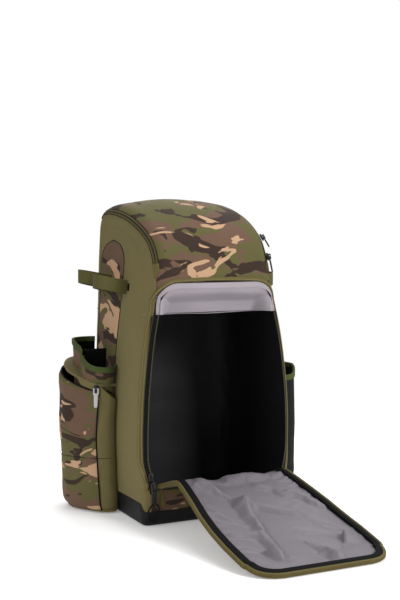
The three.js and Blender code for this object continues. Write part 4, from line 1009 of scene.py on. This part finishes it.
# Ridges of the slack lining, each from one place to another on the door, in millimetres across and
# from the hinge, with its height and half its width.
LINING_RIDGES = (
    (-70, 60, -30, 150, 9, 17), (-30, 150, -62, 350, 15, 20), (-30, 150, 60, 210, 12, 19),
    (60, 210, 105, 300, 8, 17), (30, 80, 80, 150, 8, 17), (-100, 170, -70, 215, 7, 12),
    (-112, 250, -60, 262, 8, 12), (-105, 300, -60, 345, 8, 11), (20, 260, 110, 330, 12, 18),
    (10, 290, 40, 390, 11, 15), (80, 130, 118, 210, 7, 13), (-20, 40, 60, 60, 7, 15),
    (60, 350, 96, 300, 7, 11),
)


RIDGE_RISE = 1.45


def lining_relief(x, v):
    height = 0.0
    for x0, v0, x1, v1, tall, wide in LINING_RIDGES:
        run = Vector((x1 - x0, v1 - v0))
        length = run.length
        run /= length
        at = Vector((x - x0, v - v0))
        along, off = at.dot(run), at.dot(Vector((-run.y, run.x)))
        fade = smooth((along + 18) / 36) * smooth((length + 18 - along) / 36)
        lean = off / wide
        profile = math.exp(-(max(lean, 0) * 1.0) ** 2 - (min(lean, 0) * 1.9) ** 2)
        height += RIDGE_RISE * tall * fade * profile
    height += 2.2 * noise.noise(Vector((x * 0.018, v * 0.012, 3.0)))
    height += 0.8 * noise.noise(Vector((x * 0.05, v * 0.06, 8.0)))
    return height


LINING_INSET = 11


def lining_place(u, v, flat=False):
    end = DOOR_LENGTH - LINING_INSET
    at = end * v
    half = door_inner_half(at, LINING_INSET)
    x = (2 * u - 1) * half
    border = min(half - abs(x), end - at, at * 1.5)
    rise = lining_relief(x, at) * smooth(border / 22)
    return door_point(x, at, 4.0 if flat else 6.6 + max(rise, -2.4))


def settled(piece, slack, frames):
    """Lets a cloth that is larger than its frame by a share of slack buckle into folds, held at its
    edge and nearly weightless."""
    outline = bmesh.new()
    outline.from_mesh(piece.data)
    held = piece.vertex_groups.new(name="held")
    held.add([vertex.index for vertex in outline.verts if vertex.is_boundary], 1.0, "REPLACE")
    outline.free()
    fall = piece.modifiers.new("fall", "CLOTH")
    fall.settings.vertex_group_mass = "held"
    fall.settings.mass = 0.12
    fall.settings.shrink_min = -slack
    fall.settings.tension_stiffness = 30
    fall.settings.compression_stiffness = 30
    fall.settings.shear_stiffness = 10
    fall.settings.bending_stiffness = 0.8
    fall.settings.quality = 6
    fall.settings.effector_weights.gravity = 0.02
    fall.point_cache.frame_start, fall.point_cache.frame_end = 1, frames
    for frame_number in range(1, frames + 1):
        bpy.context.scene.frame_set(frame_number)
    shaped = piece.evaluated_get(bpy.context.evaluated_depsgraph_get())
    places = [vertex.co.copy() for vertex in shaped.data.vertices]
    piece.modifiers.remove(fall)
    piece.vertex_groups.remove(held)
    for vertex, place in zip(piece.data.vertices, places):
        vertex.co = place
    bpy.context.scene.frame_set(1)
    return piece


lining = laid("door_lining", 80, 120, lining_place, (260, 400))
face_out(lining, (0, 0, 1))
padding = laid("door_padding", 80, 120, lambda u, v: lining_place(u, v, flat=True), (260, 400))
settled(lining, 0.03, 20)
# Points that sank into the door's padding are set back just above it.
for vertex, under in zip(lining.data.vertices, padding.data.vertices):
    sunk = under.co.z - vertex.co.z
    if sunk > 0:
        vertex.co.z = under.co.z + min(sunk * 0.35, 0.004)
bpy.data.objects.remove(padding)
walled(lining, 1.0, lining=0)
# The door's lining is the divider's grey cloth in a darker copy of its colour: painted shade that offsets
# the stronger light on the door, which faces up.
door_grey_shaded = Finish("door_grey_shaded", 0.42, sheen=0.05, gloss=0.35).weave(tone(112, 107, 113), 0.7)
dress(lining, "grey_lining", "door_panel", materials=(door_grey_shaded,))


def door_under_place(u, v):
    end = DOOR_LENGTH - 6
    at = end * v
    return door_point((2 * u - 1) * door_inner_half(at, 6), at, 1.4)


underside = laid("door_outer_cloth", 60, 90, door_under_place, (266, 405))
face_out(underside, (0, 0, -1))
walled(underside, 1.2, lining=0)
dress(underside, "camouflage_cloth", materials=(camouflage_cloth,))


def door_edge(inset):
    """Places and outward directions round the door's free edge, from the left end of its hinge."""
    shoulder = DOOR_LENGTH - DOOR_CORNER
    right = [(door_half(v), v, 1.0, 0.0) for v in np.linspace(0, shoulder, 46)]
    corner = door_half(DOOR_LENGTH) - DOOR_CORNER
    for a in np.linspace(0, math.pi / 2, 16)[1:]:
        right.append((corner + DOOR_CORNER * math.cos(a), shoulder + DOOR_CORNER * math.sin(a),
                      math.cos(a), math.sin(a)))
    middle = [(corner * k, DOOR_LENGTH, 0.0, 1.0) for k in np.linspace(1, -1, 22)[1:-1]]
    left = [(-u, v, -a, b) for u, v, a, b in right]
    loop = left + middle[::-1] + right[::-1]
    under, above = ([door_point(u - a * inset, v - b * inset, w) for u, v, a, b in loop] for w in (0, 1))
    places, outs = under, [high - low for low, high in zip(under, above)]
    return places, outs


rim_places, rim_outs = door_edge(6.0)
DOOR_BAND = ((5.8, 0.8), (6.8, 1.6), (7.0, 5.0), (6.6, 8.0), (5.2, 9.0), (3.0, 8.8), (1.6, 7.6),
             (1.4, 4.0), (1.4, 0.9), (5.8, 0.8))
door_band = ribbon("door_band", rim_places, rim_outs, DOOR_BAND)
dress(door_band, "olive_tape", "door_rim", materials=(olive_tape,))
inner_places, inner_outs = door_edge(10.5)
door_tape = ribbon("door_tape", inner_places, inner_outs,
                   ((6.0, 5.0), (7.0, 7.4), (6.4, 8.8), (2.0, 11.0), (-3.0, 11.4), (-5.4, 10.0),
                    (-6.0, 7.0), (-5.6, 4.0), (6.0, 5.0)))
dress(door_tape, "black_tape", materials=(black_tape,))
band_teeth = repeated("door_teeth", rim_places, rim_outs, 2.6, (1.4, 1.6, 5.4), across=7.1, lift=4.9)
dress(band_teeth, "olive_tape", materials=(olive_tape,))
tape_stitch = repeated("door_stitch", inner_places, inner_outs, 4.0, (2.6, 0.7, 0.6), across=-2.4,
                       lift=11.5)
dress(tape_stitch, "black_tape", materials=(black_tape,))

# Bat sleeves. Two upright tubes of camouflage cloth on each side, made as one pouch with a tuck between
# them, deeper and taller to the rear. The rim is bound in green elastic.
# Rows of the sleeves' plan: share of the height, front, rear, depth and tuck.
SLEEVE_ROWS = (
    (0.0, 3, 125, 53, 4), (0.17, 1, 125, 55, 4), (0.42, 1, 125, 55, 4), (0.55, -2, 128, 53, 8),
    (1.0, -18, 128, 62, 20),
)


def pouch_point(front, rear, depth, tuck, squareness, dip, angle):
    """Distance out from the side and depth along it, for a pouch's plan at an angle of 0 to 1."""
    middle, reach, power = (front + rear) / 2, (rear - front) / 2, 2 / squareness
    c, s = math.cos(angle * math.pi), max(math.sin(angle * math.pi), 0)
    out = depth * s ** power
    shift = tuck * (1 - clamp(out / (0.42 * depth))) ** 2 * (1 if c > 0 else -0.25)
    y = middle - reach * math.copysign(abs(c) ** power, c) + shift
    return max(out - dip * math.exp(-((y - middle) / 11) ** 2), 0), y


def level_outs(line):
    """Outward directions along a level line that runs forwards round the left side."""
    return [-run.cross(Vector((0, 0, 1))).normalized() for run in runs_along(line)]


def sleeve_rim(y):
    return 287 + 48 * smooth((y + 18) / 115)


def sleeve_sizes(v):
    return [np.interp(v, [r[0] for r in SLEEVE_ROWS], [r[k] for r in SLEEVE_ROWS]) for k in (1, 2, 3, 4)]


def sleeve_place(side):
    def place(u, v):
        up = v * 1.14 - 0.14
        front, rear, depth, tuck = sleeve_sizes(max(up, 0))
        out, y = pouch_point(front, rear, depth, tuck, 3, 7, u)
        heights = (95, 135, 194, 224, sleeve_rim(y))
        z = np.interp(max(up, 0), [r[0] for r in SLEEVE_ROWS], heights)
        if up < 0:
            out *= 1 + up / 0.14
            z = 95 - 2.5 * math.sin(clamp(-up / 0.14) * math.pi / 2)
        return (side * (half_width(y, z) + out - 0.8), y, z)
    return place


green_elastic = olive_finish("green_elastic", tone(66, 76, 40), 1.6)
for label, side in SIDES:
    sleeve = laid(f"sleeve_cloth_{label}", 72, 84, sleeve_place(side), (240, 260))
    sewn(sleeve, (side, 0, 0), 2.0, (1.6, 0.4), 20.0 + side)
    dress(sleeve, "camouflage_cloth", f"bat_sleeve_{label}", materials=(camouflage_cloth, black_lining))

    def divider_wall(u, v, side=side):
        z = mix(98, sleeve_rim(55) - 3, v)
        return (side * (half_width(55, z) + mix(0, 46, u)), 55, z)

    wall = laid(f"sleeve_divider_{label}", 8, 30, divider_wall, (46, 210))
    wall.modifiers.new("wall", "SOLIDIFY").thickness = 2 * MM
    dress(wall, "camouflage_cloth", materials=(black_lining,))

    rim = []
    for angle in np.linspace(0, 1, 72):
        out, y = pouch_point(-18, 128, 62, 20, 3, 7, angle)
        z = sleeve_rim(y) - 5
        rim.append(Vector((side * (half_width(y, z) + out - 0.8), y, z)))
    rim = rim if side < 0 else rim[::-1]
    BINDING = ((-5, 0.1), (-5, 1.6), (4.4, 1.7), (5.8, 0.7), (5.9, -1.4), (4.8, -3.0), (-4, -3.0),
               (-4, -2.4), (4.3, -2.3), (4.6, 0.1), (-5, 0.1))
    binding = ribbon(f"sleeve_elastic_{label}", rim, level_outs(rim), BINDING)
    dress(binding, "green_elastic", f"sleeve_binding_{label}", materials=(green_elastic,))

# Bat loops. Two flat elastic loops of olive webbing above each pair of sleeves, sewn into the side
# panel at their ends.
webbing = olive_finish("olive_webbing", tone(84, 80, 46), 2.2)
for label, side in SIDES:
    for place_name, front, rear, rise in (("front", -14, 46, 0), ("rear", 52, 114, 8)):
        line = []
        for angle in np.linspace(0, 1, 44):
            out, y = pouch_point(front, rear, 55, 0, 2.4, 0, angle)
            z = 440 + 12 * clamp(out / 55) + rise
            line.append(Vector((side * (half_width(y, z) + out - (0 if 0 < angle < 1 else 2)), y, z)))
        line = line if side < 0 else line[::-1]
        loop = ribbon(f"bat_loop_{label}_{place_name}", line, level_outs(line),
                      ((-13, -1.7), (-13.2, -0.8), (-13, 0), (-4, 0.15), (4, 0.15), (13, 0), (13.2, -0.8),
                       (13, -1.7), (-13, -1.7)))
        dress(loop, "olive_webbing", f"bat_strap_{label}_{place_name}", materials=(webbing,))

    tab_y, tab_out = -19, Vector((side, 0, 0))
    tab_places = [Vector((side * (half_width(tab_y, z) + 0.6), tab_y, z)) for z in (434, 441, 448)]
    tab = ribbon(f"bat_loop_tab_{label}", tab_places, [tab_out] * 3,
                 ((-3.5, -1), (-3.5, 0.9), (3.5, 0.9), (3.5, -1), (-3.5, -1)))
    dress(tab, "black_tape", materials=(black_tape,))

# Left pocket. A tall zipped pocket on the outside of the left sleeves: a camouflage face that swells to
# the rear, an olive gusset down its front and over its top, dark piping between them, and a zipper
# drawn half open.
POCKET_FRONT, POCKET_REAR, POCKET_BOTTOM = -6.0, 132.0, 5.0
POCKET_SEAM, POCKET_HEM = 109, 15


def pocket_top(y, out=44):
    front = mix(220, 250, clamp(out / 44))
    return mix(front, 298, clamp((y - POCKET_FRONT) / (POCKET_REAR - POCKET_FRONT)))


def pocket_plan(angle):
    out, y = pouch_point(POCKET_FRONT, POCKET_REAR, 86, 8, 3.4, 0, angle)
    share = clamp((y - POCKET_FRONT) / (POCKET_REAR - POCKET_FRONT))
    swell = 0.5 * smooth(share * 1.5) + 0.5 * min(1, share * 1.6)
    return out * min(1, mix(46 / 86, 1, swell) + 0.06), y


def pocket_point(angle, z_share, drop=0.0, lift=0.0):
    """A point of the pocket's outside, z_share of the way up, less drop millimetres."""
    out, y = pocket_plan(angle)
    top = pocket_top(y, out)
    z = mix(POCKET_BOTTOM, top - drop, z_share)
    shrink = np.interp(z, [5, 11, 19, mix(5, top, 0.3), mix(5, top, 0.62), top - 22, top],
                       [0.86, 0.93, 0.965, 1.0, 1.02, 0.97, 0.86])
    lean = 11 * smooth((z - 120) / 120) * clamp(1 - (y - POCKET_FRONT) / 90)
    return Vector((-(half_width(y, z) + out * shrink + lift), y - lean, z))


face_angle = next(a for a in np.linspace(0, 0.5, 400) if pocket_plan(a)[1] > POCKET_FRONT + 8
                  and pocket_plan(a)[0] > 30)


def pocket_face_place(u, v):
    angle = mix(face_angle, 1, u)
    place = pocket_point(angle, v, drop=POCKET_HEM)
    seam = math.exp(-((place.z - POCKET_SEAM) / 3.5) ** 2)
    gape = 4 * smooth((v - 0.8) / 0.2) * math.exp(-((place.y - 84) / 34) ** 2)
    pull = 1.6 * math.sin(place.y * 0.16) * math.exp(-((place.z - POCKET_SEAM) / 16) ** 2)
    place.x += 1.5 * seam - gape - pull * 0.35
    return place


pocket_face = laid("pocket_face_cloth", 90, 90, pocket_face_place, (230, 260))
sewn(pocket_face, lambda middle: (middle.x + 150, middle.y - 60, 0), 2.0, (4.2, 0.8), 31.0)
dress(pocket_face, "camouflage_cloth", "pocket_face_left", materials=(camouflage_cloth, black_lining))


def pocket_gusset_place(u, v):
    return pocket_point(mix(0, face_angle, u), v, drop=0)


gusset = laid("pocket_gusset_cloth", 22, 70, pocket_gusset_place, (50, 245))
sewn(gusset, (-0.3, -1, 0), 2.0, (2.6, 0.7), 33.0)
dress(gusset, "olive_cloth", "pocket_gusset_left", materials=(olive_cloth, black_lining))


def pocket_cap_place(u, v):
    """The gusset over the pocket's top: down its outside to the zipper, and in to the sleeve."""
    angle = mix(face_angle * 0.98, 1, u)
    out, y = pocket_plan(angle)
    mouth = 4 + 9 * (1 - smooth((y - 32) / 14) * (1 - smooth((y - 112) / 12)))
    if v < 0.3:
        return pocket_point(angle, 1, drop=mouth * (1 - v / 0.3))
    edge = pocket_point(angle, 1)
    share = (v - 0.3) / 0.7
    home = -half_width(y, edge.z) + 1
    return (mix(edge.x, home, share), edge.y, edge.z + 3 * math.sin(share * math.pi))


cap = laid("pocket_top_cloth", 70, 26, pocket_cap_place, (200, 90))
sewn(cap, (-0.2, 0, 1), 2.0, (1.0, 0.3), 35.0)
dress(cap, "olive_cloth", materials=(olive_cloth, black_lining))

seam_places = [pocket_point(face_angle, v, drop=POCKET_HEM, lift=0.4) for v in np.linspace(0.01, 1, 60)]
seam_places += [pocket_point(a, 1, drop=POCKET_HEM, lift=0.4) for a in np.linspace(face_angle, 0.97, 60)[1:]]
seam_outs = []
for place in seam_places:
    seam_outs.append(Vector((-0.85, -0.5 if place.y < 20 else 0.1, 0.1)).normalized())
dark_piping = ribbon("pocket_piping", seam_places, seam_outs, [(1.8 * a, 1.8 * b + 0.6) for a, b in CORD])
dress(dark_piping, "black_tape", materials=(black_tape,))
for label, low_angle, high_angle in (("face", face_angle, 0.98), ("gusset", 0.02, face_angle)):
    line = []
    for a in np.linspace(low_angle, high_angle, 50):
        out, y = pocket_plan(a)
        rise = (POCKET_SEAM - POCKET_BOTTOM) / (pocket_top(y, out) - POCKET_HEM - POCKET_BOTTOM)
        line.append(pocket_point(a, rise, drop=POCKET_HEM, lift=0.9))
    outs = [Vector((p.x + 155, p.y - 60, 0)).normalized() for p in line]
    crease = ribbon(f"pocket_seam_{label}", line, outs, [(0.6 * a, 0.6 * b) for a, b in CORD])
    dress(crease, "black_tape", materials=(black_tape,))
foot_places = [pocket_point(a, 0.0, lift=-0.5) + Vector((0, 0, 2)) for a in np.linspace(0.02, 0.98, 70)]
foot_outs = [Vector((p.x + 155, p.y - 60, 0)).normalized() for p in foot_places]
foot_binding = ribbon("pocket_foot_binding", foot_places, foot_outs,
                      ((-3.6, -0.8), (-3.4, 1.2), (0, 2.0), (3.4, 1.2), (3.6, -0.8), (-3.6, -0.8)))
dress(foot_binding, "olive_cloth", materials=(olive_tape,))

# Bottle pocket. Black mesh on the outside of the right sleeves, with an olive elastic rim.
mesh_net = Finish("black_mesh", 0.7)
net = mesh_net.sums("MAXIMUM", mesh_net.wave(110, "X"), mesh_net.wave(110, "Y"))
mesh_net.bump(net, 0.0006)
mesh_net.colour(mesh_net.blend(net, tone(6, 6, 7), tone(26, 26, 29)))
BOTTLE_BASE = half_width(60, 150) + 54


def bottle_rim(y):
    return 245 + 20 * smooth((y - 10) / 42)


def bottle_place(u, v):
    up = v * 1.15 - 0.15
    foot = 1 - smooth(max(up, 0) / 0.1)
    out, y = pouch_point(10 + 6 * foot, 112 - 6 * foot, 57 - 8 * foot, 0, 2.6, 0, u)
    z = mix(14, bottle_rim(y), max(up, 0))
    if up < 0:
        out *= 1 + up / 0.15
        z = 14 - 2 * math.sin(clamp(-up / 0.15) * math.pi / 2)
    ease = 1 + 0.03 * math.sin(clamp(up) * math.pi)
    return (BOTTLE_BASE + out * ease, y, z)


bottle = laid("bottle_pocket_mesh", 60, 60, bottle_place, (190, 250))
sewn(bottle, (1, 0, 0), 2.0, (1.6, 0.4), 41.0, lining=0)
dress(bottle, "black_mesh", "bottle_pocket_right", materials=(mesh_net.material,))
rim = []
for angle in np.linspace(1, 0, 60):
    out, y = pouch_point(10, 112, 57, 0, 2.6, 0, angle)
    rim.append(Vector((BOTTLE_BASE + out, y, bottle_rim(y) - 5)))
bottle_elastic = ribbon("bottle_elastic", rim, level_outs(rim), BINDING)
dress(bottle_elastic, "green_elastic", "bottle_binding_right", materials=(green_elastic,))

# Back pad. Black air mesh over thick foam, sewn flat onto the back panel and quilted with channels.
black_foam = Finish("black_foam", 0.85)
holes = black_foam.sums("MULTIPLY", black_foam.wave(70, "X"), black_foam.wave(70, "Y"))
black_foam.bump(holes, 0.0008)
black_foam.colour(black_foam.blend(holes, tone(24, 24, 26), tone(10, 10, 11)))
PAD_HALF, PAD_LOW, PAD_HIGH, PAD_CORNER, PAD_DEPTH = 118.0, 70.0, 520.0, 30.0, 14.0


def pad_place(u, v):
    x, z = (2 * u - 1) * PAD_HALF, mix(PAD_LOW, PAD_HIGH, v)
    middle = (PAD_LOW + PAD_HIGH) / 2
    corner_x = PAD_HALF - PAD_CORNER
    corner_z = (PAD_HIGH - PAD_LOW) / 2 - PAD_CORNER
    over_x, over_z = abs(x) - corner_x, abs(z - middle) - corner_z
    inside = min(PAD_HALF - abs(x), (PAD_HIGH - PAD_LOW) / 2 - abs(z - middle))
    if over_x > 0 and over_z > 0:
        far = math.hypot(over_x, over_z)
        inside = PAD_CORNER - far
        if inside < 0:
            scale = PAD_CORNER / far
            x = math.copysign(corner_x + over_x * scale, x)
            z = middle + math.copysign(corner_z + over_z * scale, z - middle)
            inside = 0
    edge = math.sqrt(max(0, 1 - (1 - clamp(inside / 9)) ** 2))
    grooves = [math.exp(-((abs(x) - 36) / 4.5) ** 2)]
    grooves += [math.exp(-((z - at - abs(x) * 0.22) / 4.5) ** 2) for at in (140, 225, 310, 395, 470)]
    channel = max(grooves) * smooth(inside / 14)
    return (x, BACK + 0.4 + (PAD_DEPTH + 2) * edge - 6.5 * channel, z)


pad = laid("back_pad_foam", 110, 200, pad_place, (236, 450))
face_out(pad, (0, 1, 0))
dress(pad, "black_foam", "back_pad", materials=(black_foam.material,))

# Shoulder straps. Contoured foam in black mesh with a bound edge, from the back panel's top, over and
# down, with an olive webbing strap and a plastic slider to the bag's foot.
SHOULDER_ROWS = (
    (72, -2.7, 1.014), (72, -2.7, 1.054), (73, 8, 1.086), (75, 26, 1.084), (78, 40, 1.02),
    (82, 46, 0.846), (86, 42, 0.673), (88, 32, 0.51), (88, 24, 0.408),
)
WEB_ROWS = (
    (88, 26, 0.42), (88, 23, 0.37), (90, 19, 0.29), (93, 10, 0.22), (95, 1.4, 0.172), (95, 1.4, 0.15),
)
PAD_FACE = BACK + 14.3


def strap_route(rows, side, steps):
    knots = [Vector((side * x, PAD_FACE + behind, up * PAD_HIGH)) for x, behind, up in rows]
    points = curve_through(knots, steps)
    return points, [Vector((1, 0, 0)).cross(run).normalized() for run in runs_along(points)]


STRAP_SECTION = [(-31, 5), (-30.2, 3.4), (-28.5, 2.6)]
STRAP_SECTION += [(x, 5.5 - 5.3 * (1 - abs(x / 29) ** 4) ** 0.5) for x in np.linspace(-26, 26, 11)]
STRAP_SECTION += [(28.5, 2.6), (30.2, 3.4), (31, 5), (30.8, 6.4), (28.5, 7.6)]
STRAP_SECTION += [(x, 5.5 + 5.3 * (1 - abs(x / 29) ** 4) ** 0.5) for x in np.linspace(26, -26, 11)]
STRAP_SECTION += [(-28.5, 7.6), (-30.8, 6.4), (-31, 5)]
for label, side in SIDES:
    points, outs = strap_route(SHOULDER_ROWS, side, 12)
    strap = ribbon(f"shoulder_foam_{label}", points, outs, STRAP_SECTION)
    dress(strap, "black_foam", f"shoulder_strap_{label}", materials=(black_foam.material,))
    points, outs = strap_route(WEB_ROWS, side, 8)
    web = ribbon(f"shoulder_webbing_{label}", points, outs,
                 ((-12.5, 0), (-12.5, 1.6), (12.5, 1.6), (12.5, 0), (-12.5, 0)))
    dress(web, "olive_webbing", f"strap_webbing_{label}", materials=(webbing,))

# Haul loop. A short loop of webbing on the back above the pad, to lift or hang the bag by.
HAUL_ROWS = ((-29, 0.5, 535), (-29, 0.8, 544.5), (-27, 7, 558), (-16, 17, 570), (0, 21, 573.7),
             (16, 17, 570), (27, 7, 558), (29, 0.8, 544.5), (29, 0.5, 535))
haul_points = curve_through([Vector((x, BACK + y, z)) for x, y, z in HAUL_ROWS], 7)
haul_outs = []
for run in runs_along(haul_points):
    side_way = run.cross(Vector((0, 1, 0))).normalized()
    haul_outs.append(side_way.cross(run).normalized() * -1)
haul = ribbon("haul_webbing", haul_points, haul_outs,
              ((-11, 0), (-11, 2.2), (11, 2.2), (11, 0), (-11, 0)))
dress(haul, "olive_webbing", "haul_loop", materials=(webbing,))

# Zipper sliders, pulls and strap buckles. Cast or moulded parts with their edges rounded.
gunmetal = Finish("gunmetal", 0.5, metallic=0.7, gloss=0.5)
gunmetal.colour(tone(50, 48, 48))
gunmetal.bump(gunmetal.noise(900, 3).outputs["Fac"], 0.00005)
grey_rubber = Finish("grey_rubber", 0.5, gloss=0.4)
grey_rubber.colour(tone(176, 176, 178))
black_plastic = Finish("black_plastic", 0.42, gloss=0.45)
black_plastic.colour(tone(22, 22, 24))
black_plastic.bump(black_plastic.noise(1500, 2).outputs["Fac"], 0.00004)
HARDWARE = (
    ("hood_slider_upper", gunmetal, "gunmetal", 0.5), ("hood_slider_lower", gunmetal, "gunmetal", 0.5),
    ("hood_pull_upper", gunmetal, "gunmetal", 0.4), ("hood_pull_lower", gunmetal, "gunmetal", 0.4),
    ("door_slider_upper", gunmetal, "gunmetal", 0.5), ("door_slider_lower", gunmetal, "gunmetal", 0.5),
    ("door_pull_link", gunmetal, "gunmetal", 0.4), ("pocket_slider_left", gunmetal, "gunmetal", 0.5),
    ("pocket_pull_left", grey_rubber, "grey_rubber", 0.4),
    ("strap_buckle_left", black_plastic, "black_plastic", 0.7),
    ("strap_buckle_right", black_plastic, "black_plastic", 0.7),
)
for node, finish, slot, round_off in HARDWARE:
    shape = bmesh.new()
    shape.from_mesh(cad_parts[node].data)
    bmesh.ops.remove_doubles(shape, verts=shape.verts, dist=0.00001)
    bmesh.ops.dissolve_limit(shape, angle_limit=math.radians(2), verts=shape.verts, edges=shape.edges)
    sharp = [e for e in shape.edges if e.calc_face_angle(0) > math.radians(30)]
    bmesh.ops.bevel(shape, geom=sharp, offset=round_off * MM, segments=2, profile=0.5, affect="EDGES",
                    clamp_overlap=True, material=-1)
    bmesh.ops.triangulate(shape, faces=[f for f in shape.faces if len(f.verts) > 4])
    dress(piece_from(f"{node}_cast", shape), slot, node, materials=(finish.material,))

# Pull cord. A loop of thin black cord through the door zipper's link, 93 mm long, that hangs down
# over the base and ends in the link at both ends.
CORD_RADIUS = 0.0015
cord_low, cord_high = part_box("door_pull_cord")
cord_middle = (cord_low + cord_high) / 2
ring_x, ring_z = (cord_high.x - cord_low.x) / 2 - CORD_RADIUS, (cord_high.z - cord_low.z) / 2 - CORD_RADIUS
cord_path = []
for t in np.linspace(0.16, 2 * math.pi - 0.16, 40):
    share = 0.5 - 0.5 * math.cos(t / 2)
    depth = cord_high.y - CORD_RADIUS - (cord_high.y - cord_low.y - 2 * CORD_RADIUS) * share
    cord_path.append(Vector((cord_middle.x + ring_x * math.sin(t), depth,
                             cord_middle.z + ring_z * math.cos(t))))
cord_section = [(1.5 * math.cos(a), 1.5 * math.sin(a)) for a in np.linspace(0, 2 * math.pi, 11)]
cord_outs = [Vector((0, -1, 0))] * len(cord_path)
pull_cord = ribbon("pull_cord", [p / MM for p in cord_path], cord_outs, cord_section)
cord_weave = Finish("black_cord", 0.6).weave(tone(20, 20, 22), 1.0)
dress(pull_cord, "black_plastic", "door_pull_cord", materials=(cord_weave,))
